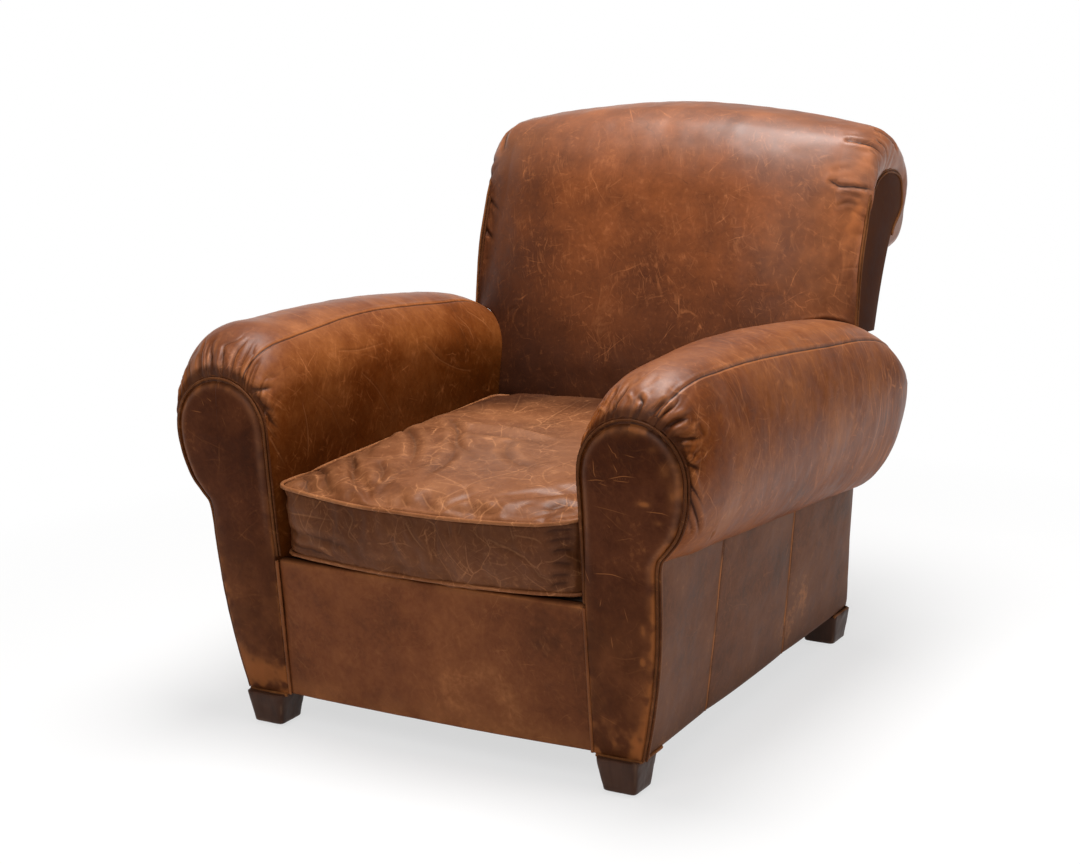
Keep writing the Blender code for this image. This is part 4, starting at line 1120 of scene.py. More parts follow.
def make_arm_pad(side, material, seed, lines, crest_lift):
    """A padded roll carried back from the front panel's edge.

    Round it, a column keeps its share of four runs: the underside from the neck, the outer and upper
    curve as a squared-off ellipse, the inner shoulder as an ellipse and the inner wall. Along it, the
    ring grows from the panel's edge to the full roll as a quarter circle, and the folds and the seam
    are laid on along the surface's normal.
    """
    under = np.linspace(-1.0, 0.0, 34)[:-1]
    seam_turn = math.radians(50.0 if side > 0 else 124.0)
    over = packed(0.0, math.pi, 200, (seam_turn,), 1.5, 0.18)
    wall = np.linspace(0.0, 1.0, 50)[1:] ** 1.3
    front = FRONT_Y + 0.0075
    ahead = np.concatenate([np.linspace(0.0, 0.14, 105), np.linspace(0.14, ARM_REAR_Y - front, 176)[1:]])
    y = front + ahead
    crest, out_z, low_z, half, centre = [a[:, None] for a in arm_section(y)]
    crest = crest + crest_lift * hump(y, -0.46, 0.12)[:, None]
    half = half + crest_lift * 0.8 * hump(y, -0.44, 0.12)[:, None]
    swell = unit(ahead / ARM_SWELL_LENGTH)[:, None]
    grow = np.sqrt(1.0 - (1.0 - swell) ** 2)

    # the full roll
    turn_low = -np.arccos(np.clip((ARM_NECK_X - centre) / half, -0.3, 0.95))
    drop = (out_z - low_z) / -np.sin(turn_low)
    under_turn = -turn_low * under[None]
    roll_x = [centre + half * np.cos(under_turn)]
    roll_z = [out_z + drop * np.sin(under_turn)]
    outer = over[None] <= math.pi / 2
    cos, sin = np.abs(np.cos(over))[None], np.sin(over)[None]
    power = np.where(outer, 2.0 / ARM_SQUARENESS, 1.0)
    rise = np.where(outer, crest - out_z, ARM_SHOULDER)
    roll_x.append(centre + np.where(outer, 1.0, -1.0) * half * cos ** power)
    roll_z.append(crest - rise + rise * sin ** power)
    wall_z = (crest - ARM_SHOULDER) + (ARM_INNER_FOOT_Z - crest + ARM_SHOULDER) * wall[None]
    roll_x.append(centre - half + 0.0 * wall_z)
    roll_z.append(wall_z)
    roll = np.stack([np.concatenate(roll_x, 1), np.concatenate(roll_z, 1)], -1)

    # the panel's edge
    edge_z = HEAD_CENTRE[1] + (ARM_NECK_Z - HEAD_CENTRE[1]) * -under
    head_x, head_z = panel_edge(over)
    inner_z = HEAD_CENTRE[1] + (ARM_INNER_FOOT_Z - HEAD_CENTRE[1]) * wall
    rim = np.stack([np.concatenate([spline(PANEL_OUTER, edge_z), head_x, spline(PANEL_INNER, inner_z)]),
                    np.concatenate([edge_z, head_z, inner_z])], -1)[None]
    flat = rim + (roll - rim) * grow[..., None]
    x, z = flat[..., 0], flat[..., 1]
    # past the back's face the inner part is drawn out beyond the rear cover's edge
    past = unit((y - ARM_TUCK_Y) / ARM_TUCK_LENGTH)[:, None]
    x = x + past * ARM_TUCK_SHARE * np.maximum(0.0, ARM_TUCK_X - x)
    z = z + past * np.maximum(0.0, low_z - z)
    lean = FRONT_LEAN * unit(1.0 - ahead / 0.20)[:, None]
    depth = y[:, None] + lean * np.maximum(0.0, LEAN_START_Z - z)
    points = np.stack([x, depth, z], -1)

    # round the rear end off
    ending = unit((y - (ARM_REAR_Y - ARM_END_ROUND)) / ARM_END_ROUND)
    pull = 1.0 - 0.30 * (1.0 - np.sqrt(1.0 - ending ** 2))
    heart = np.stack([centre[:, 0], depth.mean(1), (out_z[:, 0] + crest[:, 0]) / 2], -1)[:, None]
    points = heart + (points - heart) * pull[:, None, None]

    # charts: p back from the welt, q round from the crest
    row = int(np.argmax(ahead > 0.30))
    round_it = run_along(roll[row])
    at_crest = round_it[len(under) + int(np.argmin(np.abs(over - math.pi / 2)))]
    q = np.broadcast_to((at_crest - round_it)[None], x.shape)
    p = np.broadcast_to(ahead[:, None], x.shape)
    beside = q - spline(ARM_SEAMS[side], p)
    height, near, strokes, ridge = folds(p, q, lines)
    on_seam = (np.abs(beside) < 0.005) & (p > 0.004)
    strokes["gap"] = np.where(on_seam, beside * 1.25, strokes["gap"])
    # Along the seam the dark stroke is painted shade in its groove, with a painted highlight beside it.
    strokes["cut"] = np.where(on_seam, 1.0, strokes["cut"])
    strokes["line"] = np.where(on_seam, 0.0, strokes["line"])
    here = seeded(p, q, seed)
    gather = ease(0.062, 0.006, p) * (0.45 + 0.55 * ease(-0.75, 0.10, noise(q * 9.0, 0.3, 0.6, seed)))
    ripple = noise(q * 84.0 + 1.5 * noise(p * 42.0, q * 22.0, 0.2, seed + 1), p * 16.0, 0.5, seed + 2)
    fine = noise(q * 130.0 + 1.5 * noise(p * 50.0, q * 25.0, 0.7, seed + 3), p * 16.0, 0.8, seed + 4)
    upper = ease(-0.185, -0.12, q) * ease(0.20, 0.12, q)
    crease = -(1.0 - np.abs(ripple)) ** 4
    height = 1.6 * height + gather * upper * (0.0046 * crease + 0.0016 * np.abs(ripple) + 0.0006 * fine)
    height = (height + 0.0010 * rough_noise(here, 11.0, seed + 6, 2)
              + 0.0004 * rough_noise(here, 45.0, seed + 8, 2))
    groove = -0.0014 * hump(beside, 0.0, 0.0020) + 0.0008 * hump(beside, -0.0055 * side, 0.0035)
    height = height + groove * ease(0.004, 0.02, p)
    settle = ease(0.0, 0.006, p) * 0.85 + 0.15
    normal = grid_normals(points)
    if np.einsum("ijk,ijk->ij", normal, points - heart).mean() < 0:
        normal = -normal
    points = points + normal * (height * settle)[..., None]

    scuff = unit(0.9 * rough_noise(here, 16.0, seed + 9, 3) - 0.15)
    # The gathers' ridges: rubbed leather and a painted highlight. The folds' ridges in the wear below are a
    # painted highlight too.
    rubbed = hump(np.abs(ripple), 0.26, 0.11) * gather * upper * (0.6 + fine)
    wear = unit(0.42 * scuff * ease(-0.10, -0.02, q) * ease(0.10, 0.02, q) + 0.5 * rubbed
                   + 0.25 * hump(beside, -0.0050 * side, 0.0030) * (0.5 + scuff) + 0.45 * ridge
                   + 0.4 * rubbed)
    # Painted shade next to the welt, in the folds, in the gathers' valleys and down the inner wall.
    dirt = unit(0.90 * ease(0.007, 0.002, p) + 0.85 * near + 0.95 * gather * upper * (-crease) ** 2
                   + 0.70 * ease(-0.10, -0.26, q))
    pull_field = ease(0.05, 0.20, p) * (0.45 + 0.55 * ease(0.45, 0.70, p)) * ease(-0.12, -0.02, q)
    flank = 0.50 * hump(q, 0.25, 0.06) if side > 0 else 0.34 * hump(q, -0.09, 0.08)
    gleam = 0.95 * hump(q, 0.015, 0.07) + flank
    # two hidden columns close the underside: at the inner wall's foot and at the neck's height
    inside = np.zeros((len(y), 2, 3))
    inside[..., 0] = ARM_INNER_X + 0.022 + past * 0.077
    inside[:, 0, 2] = ARM_INNER_FOOT_Z + past[:, 0] * (low_z[:, 0] - 0.001 - ARM_INNER_FOOT_Z)
    inside[:, 1, 2] = low_z[:, 0]
    inside[..., 1] = y[:, None] + lean * np.maximum(0.0, LEAN_START_Z - inside[..., 2]) + 0.012
    points = np.concatenate([points, inside], 1)
    fields, chart = padded_fields(p, q, (0, 2), strokes, wear=wear, dirt=dirt, pull=pull_field, gleam=gleam)
    obj = grid_object(side_name("arm", side), mirrored(points, side), material, fields, chart)
    return place(obj, "arm_leather", (side_name("arm_pad", side),), ARM_FILL)


# ---------------------------------------------------------------- back

def arm_surface(x, y):
    """The height of an arm roll's upper surface over this place."""
    crest, out_z, low_z, half, centre = arm_section(y)
    share = np.clip((np.abs(x) - centre) / half, -1.0, 1.0)
    inner = ARM_SHOULDER * (1.0 - np.sqrt(np.maximum(0.0, 1.0 - share ** 2)))
    bulge = np.maximum(0.0, 1.0 - np.abs(share) ** ARM_SQUARENESS) ** (1 / ARM_SQUARENESS)
    outer = (crest - out_z) * (1.0 - bulge)
    return crest - np.where(share < 0.0, inner, outer)


def back_lines(x, up_count, over_count):
    """The back's outer line at each x, as (y, z): up the face, over the roll and down to the hem.

    The mid-width section is scaled to the crown's height, and the face is swept back at the sides. Over
    the arms it starts on the arm's surface.
    """
    section = smooth_path(BACK_SECTION, 1200)
    spread = (np.abs(x) / BACK_HALF_WIDTH)[:, None]
    seat = np.abs(x)[:, None] < BACK_SEAT_X
    scale = (BACK_TOP_Z - BACK_CROWN_DROP * spread ** 2 - BACK_SCALE_Z) / (BACK_TOP_Z - BACK_SCALE_Z)

    def at(share):
        place = unit(share) * (len(section) - 1)
        y, z = [np.interp(place, np.arange(len(section)), axis) for axis in section.T]
        z = np.where(z > BACK_SCALE_Z, BACK_SCALE_Z + (z - BACK_SCALE_Z) * scale, z)
        behind = ease(0.45, 0.72, share)
        z = z - BACK_TAIL_DROP * spread ** 2 * ease(0.80, 0.95, share)
        return y + BACK_SWEEP * spread ** 4 * (1.0 - behind) - 0.006 * spread ** 6 * behind, z

    low = np.where(seat, 0.0, 0.28)
    for _ in range(12):
        y, z = at(low)
        gap = arm_surface(x[:, None], y) + 0.0005 - z
        low = np.where(seat, 0.0, low + gap * 0.9)
    low = low * ease(BACK_SEAT_X, 0.300, np.abs(x))[:, None]
    up = low + (BACK_TOP_SHARE - low) * np.linspace(0.0, 1.0, up_count)[None]
    over = BACK_TOP_SHARE + (1.0 - BACK_TOP_SHARE) * np.linspace(0.0, 1.0, over_count + 1)[None, 1:]
    share = np.concatenate([up, over + 0.0 * low], 1)
    return (*at(share), share)


def make_back(material, seed, lines):
    """One padded sheet from the seat up and over the top rail to a hem behind.

    A row is the back's section at one x. At each end the rows turn in to the end panel's outline as
    a quarter circle, and the turn carries the upper corners a little outwards as a lip.
    """
    turn = np.linspace(0.0, math.pi / 2, 52)[1:]
    inner = np.concatenate([np.linspace(0.0, 0.2744, 92), np.linspace(0.2746, BACK_TURN_X, 20)])
    x = np.concatenate([inner, np.full(len(turn), BACK_TURN_X)])
    bend = np.concatenate([np.zeros(len(inner)), turn])
    x = np.concatenate([-x[::-1], x[1:]])
    bend = np.concatenate([bend[::-1], bend[1:]])
    sign = np.where(x < 0, -1.0, 1.0)
    reach = BACK_HALF_WIDTH - BACK_TURN_X
    real_x = sign * (np.abs(x) + reach * np.sin(bend))
    y, z, along = back_lines(real_x, 110, 124)
    columns = y.shape[1]
    run = run_along(np.stack([y[len(x) // 2], z[len(x) // 2]], 1))
    number = np.linspace(0.0, 1.0, columns)
    share_at, end_y, end_z = np.array(BACK_END).T
    end_y, end_z = [spline(np.stack([share_at, axis], 1), number) for axis in (end_y, end_z)]
    low = z[:, :1]
    share = (1.0 - np.cos(bend))[:, None] * (1.0 - 0.55 * ease(0.80, 0.90, along))
    high = ease(0.70, 0.80, z)
    y = y + (end_y[None] - y) * share
    z = z + (end_z[None] - z) * share * ease(low, low + 0.05, z)
    lip = BACK_LIP * np.sin(2.0 * bend)[:, None] * high
    px = real_x[:, None] + sign[:, None] * lip
    points = np.stack([px + 0.0 * y, y, z], -1)
    p = real_x[:, None] + sign[:, None] * 0.045 * bend[:, None] + 0.0 * y
    q = along * run[-1]
    here = seeded(p, q, seed)
    height, near, strokes, ridge = folds(p, q, lines)
    height = (height + 0.0026 * rough_noise(here, 5.5, seed, 2)
              + 0.0006 * rough_noise(here, 30.0, seed + 3, 2))
    tuck = noise(q * 45.0 + 1.2 * noise(p * 20.0, q * 9.0, 0.4, seed + 4), p * 8.0, 0.1, seed + 5)
    edge = ease(0.33, 0.40, np.abs(p)) * ease(0.30, 0.45, q) * ease(0.95, 0.85, q)
    height = height - 0.0016 * edge * (1.0 - np.abs(tuck)) ** 4
    height = height * ease(0.452, 0.440, np.abs(p))
    normal = grid_normals(points)
    if (normal[len(x) // 2, 40] * np.array([0.0, -1.0, 0.0])).sum() < 0:
        normal = -normal
    points = points + normal * height[..., None]
    scuff = unit(rough_noise(here, 13.0, seed + 9, 3) - 0.1)
    # The top is lighter as worn leather and as a painted highlight where light from above falls; the rubbed
    # patch on the right is worn leather that also stands in for light from the right, and the folds' ridges
    # are a painted highlight.
    top = ease(0.52, 0.62, q)
    rubbed = ease(0.16, 0.34, p) * ease(0.20, 0.36, q) * ease(0.68, 0.46, q)
    rubs = unit(0.5 + 1.1 * rough_noise(here, 34.0, seed + 11, 3))
    wear = unit(0.42 * top * (0.5 + 0.7 * scuff) + 0.55 * hump(np.abs(p), 0.372, 0.016) * scuff
                   + 0.85 * rubbed * (0.45 + 0.55 * rubs) * (0.6 + 0.5 * scuff)
                   + 0.25 * ridge)
    # Painted shade on the lower back, in the folds and on the left side, and darker where the back meets its
    # end panels.
    dirt = unit(0.92 * ease(0.44, 0.12, q) + 0.5 * ease(0.440, 0.452, np.abs(p)) + 0.7 * near
                   + 0.62 * ease(-0.08, -0.34, p) * ease(0.70, 0.50, q))
    # the hidden inner side: up behind the hem, forward under the crown and down to the seat
    ahead = -REAR_COVER_THICK - 0.002 - BACK_INNER_GAP
    offset = np.array([BACK_INNER_CLEAR, BACK_INNER_CLEAR, ahead, ahead])
    heights = (HEM_Z, BACK_INNER_TOP_Z, BACK_INNER_TOP_Z, low[:, 0])
    inside_z = np.stack([height_at + 0.0 * x for height_at in heights], 1)
    inside = np.stack([real_x[:, None] + 0.0 * inside_z, rear_plane(inside_z) + offset, inside_z], -1)
    points = np.concatenate([points, inside], 1)
    gleam = 0.03 + 0.95 * ease(0.50, 0.62, q) + 0.15 * ridge
    gleam = unit(gleam + 0.12 * ease(0.0, 0.30, p) * ease(0.30, 0.44, q))
    fields, chart = padded_fields(p, q, (0, 4), strokes, wear=wear, dirt=dirt, gleam=gleam)
    obj = grid_object("back", points, material, fields, chart)
    return place(obj, "back_leather", ("inside_back",), BACK_FILL)


def make_end_panel(side, material, piping_material, seed):
    """A flat bullet-shaped panel: rows run from its front edge to its rear edge, foot to head.

    Two rows of thin piping follow its outline up the front and over its head.
    """
    line = smooth_path(END_PANEL, 240)
    top = int(np.argmax(line[:, 1]))
    front, rear = line[:top + 1], line[top:][::-1]
    share = np.linspace(0.0, 1.0, 120)
    front, rear = [np.stack([np.interp(share, np.linspace(0, 1, len(edge)), axis) for axis in edge.T], 1)
                   for edge in (front, rear)]
    across = np.sin(np.linspace(-math.pi / 2, math.pi / 2, 30)) * 0.5 + 0.5
    flat = front[:, None] + (rear - front)[:, None] * across[None, :, None]
    crown = END_CROWN * np.sqrt(unit(4.0 * across * (1.0 - across)))[None, :]
    x = BACK_HALF_WIDTH + 0.0015 + crown + 0.0 * flat[..., 0]
    face = np.stack([x, flat[..., 0], flat[..., 1]], -1)
    rim = (1.0 - crown / END_CROWN) * 0.5 + 0.0 * x
    obj = sheet_object(side_name("end_panel", side), mirrored(face, side), (-side * 1.0, 0.0, 0.0),
                       END_THICK, material, {"wear": rim})
    place(obj, "panel_leather", (side_name("back_end_panel", side),))
    line = line[:len(line) - int(np.argmax(line[::-1, 1] > END_PIPING_LOW_Z))]
    for name, grow, out in END_PIPINGS:
        path = line + beside_line(line) * grow
        points = np.stack([np.full(len(path), BACK_HALF_WIDTH + out), path[:, 0], path[:, 1]], 1)
        piping(side_name(name, side), mirrored(points, side), END_PIPING_RADIUS, piping_material, 0.85,
               seed, OUTWARD)


def make_outside_back(material, seed):
    """A flat cover up the rear: rows run across, wider over the arms, and its edges turn forward.

    At each edge the last columns follow a quarter circle whose radius grows with the height.
    """
    z = np.linspace(BASE_Z, REAR_COVER_TOP_Z, 110)
    half = spline(REAR_COVER_HALF, z)[:, None]
    radius = 0.004 + 0.018 * ease(0.33, 0.44, z)[:, None]
    flat = np.linspace(0.0, 1.0, 36)
    turn = np.linspace(0.0, math.pi / 2, 10)[1:]
    across = np.concatenate([flat, np.ones(len(turn))])
    bend = np.concatenate([np.zeros(len(flat)), turn])
    across = np.concatenate([-across[::-1], across[1:]])
    bend = np.concatenate([bend[::-1], bend[1:]])[None]
    sign = np.where(across < 0.0, -1.0, 1.0)[None]
    x = (half - radius) * across[None] + sign * radius * np.sin(bend)
    here = seeded(x, z[:, None], seed)
    crown = 0.004 * (1.0 - across[None] ** 6) + 0.0008 * rough_noise(here, 9.0, seed, 2) * np.cos(bend)
    y = rear_plane(z)[:, None] + crown - 0.004 - radius * (1.0 - np.cos(bend))
    face = np.stack([x, y, z[:, None] + 0.0 * x], -1)
    # Darker towards the foot, and on the turned edges above the arms' height.
    dirt = 0.35 * ease(0.15, 0.06, z)[:, None] + 0.95 * np.sin(bend) * ease(0.44, 0.54, z)[:, None]
    obj = sheet_object("rear_cover", face, (0.0, -1.0, 0.0), REAR_COVER_THICK, material, {"dirt": dirt})
    return place(obj, "panel_leather", ("outside_back",))


def make_rear_corner(side, material, seed):
    """The turned corner between a side and the rear cover: at each height a quarter of an ellipse."""
    z = np.linspace(BASE_Z, REAR_CORNER_TOP_Z, 90)
    turn = np.linspace(0.0, math.pi / 2, 20)[None]
    side_y = SIDE_REAR_Y - SIDE_TAIL * np.clip((z - BASE_Z) / (SIDE_REAR_TOP_Z - BASE_Z), 0.0, 1.2)
    side_edge = side_x(side_y, z) - REAR_CORNER_SET
    rear_y = rear_plane(z) - REAR_CORNER_SET
    x = REAR_CORNER_X + (side_edge - REAR_CORNER_X)[:, None] * np.sin(turn)
    y = side_y[:, None] + (rear_y - side_y)[:, None] * np.cos(turn)
    here = np.stack([x, y, z[:, None] + 0.0 * x], -1)
    worn = unit(0.5 + 1.2 * rough_noise(here, 24.0, seed, 3)) * hump(turn, 0.9, 0.35)
    obj = sheet_object(side_name("rear_corner", side), mirrored(here, side), (-side * 0.7, -0.7, 0.0),
                       REAR_CORNER_THICK, material, {"wear": 0.35 * worn + 0.0 * x})
    place(obj, "panel_leather")


# ---------------------------------------------------------------- front rail and sides

def make_rail(material, seed):
    """The cover between the front panels: rows run across the leaning plane, the top turned over."""
    across = np.linspace(-1.0, 1.0, 140)
    x = RAIL_HALF_WIDTH * across
    sag = -0.0015 + 0.0025 * across ** 2
    along = np.linspace(0.0, 1.0, 66)
    z = (BASE_Z + sag)[None, :] + (RAIL_TOP_Z - BASE_Z - sag)[None, :] * along[:, None]
    x = x[None, :] + 0.0 * z
    here = seeded(x, z, seed)
    crown = 0.0045 * (1.0 - across[None] ** 8) * np.sin(math.pi * np.clip(along, 0.04, 1.0))[:, None] ** 0.6
    lump = 0.0012 * rough_noise(here, 9.0, seed, 2) + 0.0004 * rough_noise(here, 40.0, seed + 2, 2)
    face = np.stack([x, front_plane(z) + 0.0065 - crown - lump, z], -1)
    turn = np.linspace(0.0, math.pi / 2, 8)[1:]
    rounded = np.stack([0.0 * turn, RAIL_ROUND * (1.0 - np.cos(turn)), RAIL_ROUND * np.sin(turn)], 1)
    top = face[-1][None] + rounded[:, None]
    points = np.concatenate([face, top])
    rim = np.concatenate([0.0 * x + hump(z, RAIL_TOP_Z, 0.006) * 0.5, np.full(top.shape[:2], 0.8)])
    noise_rim = unit(0.6 + 0.8 * rough_noise(points[..., [0, 2, 1]], 25.0, seed + 4, 3))
    rim[:len(z)] += 0.55 * ease(0.105, 0.060, z)
    # A painted shadow on the rail's turned-over top, under the cushion's front; the face is darker towards
    # the right.
    over = 0.9 * ease(0.0, 1.0, turn / 1.57)[:, None] + np.zeros(top.shape[:2])
    dirt = np.concatenate([0.30 * ease(-0.02, 0.22, x), over])
    obj = sheet_object("front_rail_leather", points, (0.0, 1.0, 0.0), RAIL_THICK, material,
                       {"wear": rim * noise_rim, "dirt": dirt})
    place(obj, "rail_leather", ("front_rail_cover",))
    z = np.linspace(BASE_Z, RAIL_TOP_Z + 0.004, 160)
    for side in (-1, 1):
        path = np.stack([side * (RAIL_HALF_WIDTH + 0.0018) + 0.0 * z, front_plane(z) + 0.0042, z], 1)
        piping(side_name("rail_piping", side), path, RAIL_PIPING_RADIUS, material, 0.8, seed + side,
               FORWARD, slot="rail_leather")


def side_x(y, z):
    """The x of a side cover: straight from foot to arm, fuller towards the front panel's edge."""
    straight = SIDE_FOOT_X + (SIDE_TOP_X - SIDE_FOOT_X) * unit((z - BASE_Z) / (0.3500 - BASE_Z))
    full = spline(PANEL_OUTER, np.minimum(z, 0.36))
    return straight + (full - straight) * ease(-0.300, -0.490, y)


def make_side(side, material, seed):
    """The outer side in three widths, rows running back: each width is slightly full between seams."""
    front, rear = SIDE_FRONT_Y, SIDE_REAR_Y
    y0 = packed(front, rear, 200, [s[0] for s in SIDE_SEAMS], 6.0, 0.006)
    up = np.linspace(0.0, 1.0, 60)
    low = BASE_Z + 0.0025 * ease(-0.2, 0.2, y0)
    high = ARM_LOW_Z + ARM_LOW_SLOPE * y0 + 0.010
    z = low[None] + (high - low)[None] * up[:, None]
    shift = sum((foot - head) * hump(y0, head, 0.1) for head, foot in SIDE_SEAMS)
    tail = SIDE_TAIL * ease(0.10, SIDE_REAR_Y, y0)
    y = y0[None] + (1.0 - up)[:, None] * shift[None] - up[:, None] * tail[None]
    lean = FRONT_LEAN * np.maximum(0.0, 0.36 - z) * ease(-0.30, front, y0)[None]
    y = y + lean
    here = seeded(y, z, seed)
    edges = np.array([front, SIDE_SEAMS[0][0], SIDE_SEAMS[1][0], rear])
    slot = np.clip(np.searchsorted(edges, y0) - 1, 0, 2)
    within = (y0 - edges[slot]) / (edges[slot + 1] - edges[slot])
    crown = 0.0035 * unit(4.0 * within * (1.0 - within)) ** 0.5
    lump = 0.0014 * rough_noise(here, 7.0, seed, 2) + 0.0004 * rough_noise(here, 35.0, seed + 2, 2)
    seam = sum(hump(y0, s[0] - 0.0018, 0.0016) * 0.0016 - hump(y0, s[0] + 0.0012, 0.0012) * 0.0012
               for s in SIDE_SEAMS)
    x = (side_x(y, z) - 0.0035 + crown[None] + lump * ease(0.0, 0.1, 1 - np.abs(2 * up - 1))[:, None]
         + seam[None])
    face = np.stack([x, y, z], -1)
    rub = 1.5 * sum(hump(y0, s[0] - 0.0014, 0.0024) for s in SIDE_SEAMS)[None]
    rub = rub * unit(0.75 + rough_noise(here, 30.0, seed + 6, 2))
    # Darker towards the foot and just behind each seam's welt.
    dirt = 0.4 * ease(0.12, BASE_Z, z) + 0.5 * sum(hump(y0, s[0] + 0.0022, 0.0016) for s in SIDE_SEAMS)[None]
    obj = sheet_object(side_name("side", side), mirrored(face, side), (-side * 1.0, 0.0, 0.0), SIDE_THICK,
                       material, {"wear": unit(rub), "dirt": unit(dirt)})
    place(obj, "panel_leather", (side_name("side_cover", side),))
    z = np.linspace(BASE_Z, 0.372, 150)
    for name, back, radius in CORNER_PIPINGS:
        x = spline(PANEL_OUTER, z) + 0.0006
        path = np.stack([x, front_plane(z) + back, z], 1)
        piping(side_name(name, side), mirrored(path, side), radius, material, 0.5, seed, OUTWARD)


# ---------------------------------------------------------------- seat

def box_grid(half, front, rear, low, high, step):
    """A box skin on a square grid with shared edges.

    Returns the points, the quads, and the indices of the top and bottom rims in order.
    """
    nx = int(round(2 * half / step))
    ny = int(round((rear - front) / step))
    nz = int(round((high - low) / step))
    i = np.concatenate([np.arange(nx), np.full(ny, nx), np.arange(nx, 0, -1), np.zeros(ny, int)])
    j = np.concatenate([np.zeros(nx, int), np.arange(ny), np.full(nx, ny), np.arange(ny, 0, -1)])
    ring = len(i)
    top = np.full((ny + 1, nx + 1), -1)
    bottom = np.full((ny + 1, nx + 1), -1)
    wall = np.arange(ring * (nz + 1)).reshape(nz + 1, ring)
    bottom[j, i] = wall[0]
    top[j, i] = wall[-1]
    count = wall.size
    inner = (ny - 1) * (nx - 1)
    bottom[1:-1, 1:-1] = count + np.arange(inner).reshape(ny - 1, nx - 1)
    top[1:-1, 1:-1] = count + inner + np.arange(inner).reshape(ny - 1, nx - 1)
    xs = np.linspace(-half, half, nx + 1)
    ys = np.linspace(front, rear, ny + 1)
    zs = np.linspace(low, high, nz + 1)
    points = np.zeros((count + 2 * inner, 3))
    points[wall] = np.stack(np.broadcast_arrays(xs[i], ys[j], zs[:, None]), -1)
    gx, gy = np.meshgrid(xs[1:-1], ys[1:-1])
    for grid, z in ((bottom, low), (top, high)):
        points[grid[1:-1, 1:-1]] = np.stack([gx, gy, np.full_like(gx, z)], -1)
    around = np.concatenate([wall, wall[:, :1]], 1)
    quads = [grid_quads(index).reshape(-1, 4) for index in (around, top, bottom)]
    quads = [quads[0][:, [0, 3, 2, 1]], quads[1][:, [0, 3, 2, 1]], quads[2]]
    return points, np.concatenate(quads), wall[-1], wall[0]


def round_corners(points, half, front, rear, radius):
    """Pulls the four upright corners of a box in to a radius."""
    middle = (front + rear) / 2
    size = (rear - front) / 2
    x, y = points[:, 0], points[:, 1] - middle
    share = np.maximum(np.abs(x) / half, np.abs(y) / size)
    cx = np.clip(np.abs(x) - (half - radius) * share, 0.0, None)
    cy = np.clip(np.abs(y) - (size - radius) * share, 0.0, None)
    length = np.hypot(cx, cy)
    limit = radius * share
    pull = np.where(length > limit, limit / np.maximum(length, 1e-9), 1.0)
    both = (cx > 0) & (cy > 0)
    nx = np.where(both, (half - radius) * share + cx * pull, np.abs(x))
    ny = np.where(both, (size - radius) * share + cy * pull, np.abs(y))
    out = points.copy()
    out[:, 0] = np.sign(x) * nx
    out[:, 1] = middle + np.sign(y) * ny
    return out


def relax_cloth(obj, held):
    """Lets the leather settle under the filling's pressure while its seams are held.

    Returns its points at the last frame.
    """
    seams = obj.vertex_groups.new(name="seams")
    seams.add(held.tolist(), 1.0, "REPLACE")
    cloth = obj.modifiers.new("settle", "CLOTH")
    settings = cloth.settings
    settings.quality = 6
    settings.mass = 0.25
    settings.tension_stiffness = CLOTH_STIFFNESS
    settings.compression_stiffness = CLOTH_STIFFNESS
    settings.shear_stiffness = CLOTH_STIFFNESS * 0.4
    settings.bending_stiffness = 0.35
    settings.air_damping = 4.0
    settings.vertex_group_mass = "seams"
    settings.use_pressure = True
    settings.uniform_pressure_force = CLOTH_PRESSURE
    settings.shrink_min = -CLOTH_GROWTH
    settings.effector_weights.gravity = 0.0
    cloth.collision_settings.use_collision = False
    cloth.collision_settings.use_self_collision = False
    cloth.point_cache.frame_start = 1
    cloth.point_cache.frame_end = CLOTH_FRAMES
    scene = bpy.context.scene
    for number in range(1, CLOTH_FRAMES + 1):
        scene.frame_set(number)
    graph = bpy.context.evaluated_depsgraph_get()
    settled = obj.evaluated_get(graph).to_mesh()
    co = read_array(settled.vertices, "co").astype(float)
    obj.evaluated_get(graph).to_mesh_clear()
    obj.modifiers.remove(cloth)
    obj.vertex_groups.remove(seams)
    scene.frame_set(1)
    return co


def cushion_shape(points):
    """The box bent to the cushion's plan and section: a bowed front, tapered sides and a low crown."""
    x, y, z = points.T.copy()
    rise = (z - CUSHION_LOW_Z) / (CUSHION_TOP_Z - CUSHION_LOW_Z)
    along = (y - CUSHION_FRONT_Y) / (CUSHION_REAR_Y - CUSHION_FRONT_Y)
    width = np.abs(x) / CUSHION_HALF_WIDTH
    bow = -0.020 * (1.0 - width ** 2.2) * (1.0 - along) ** 3
    corner = 0.010 * unit(x / CUSHION_HALF_WIDTH) ** 6 * (1.0 - along) ** 4
    y = y + bow + corner + 0.013 * (1.0 - rise) * (1.0 - along) ** 3
    lift = spline(CUSHION_LIFT, x)
    crown = 0.012 * (1.0 - width ** 4) * unit(4.0 * along * (1.0 - along)) ** 0.6
    z = z + rise * (lift * (1.0 - along) + 0.020 * along + crown) - (1.0 - rise) * 0.003 * (1.0 - width ** 2)
    return np.stack([x, y, z], 1)


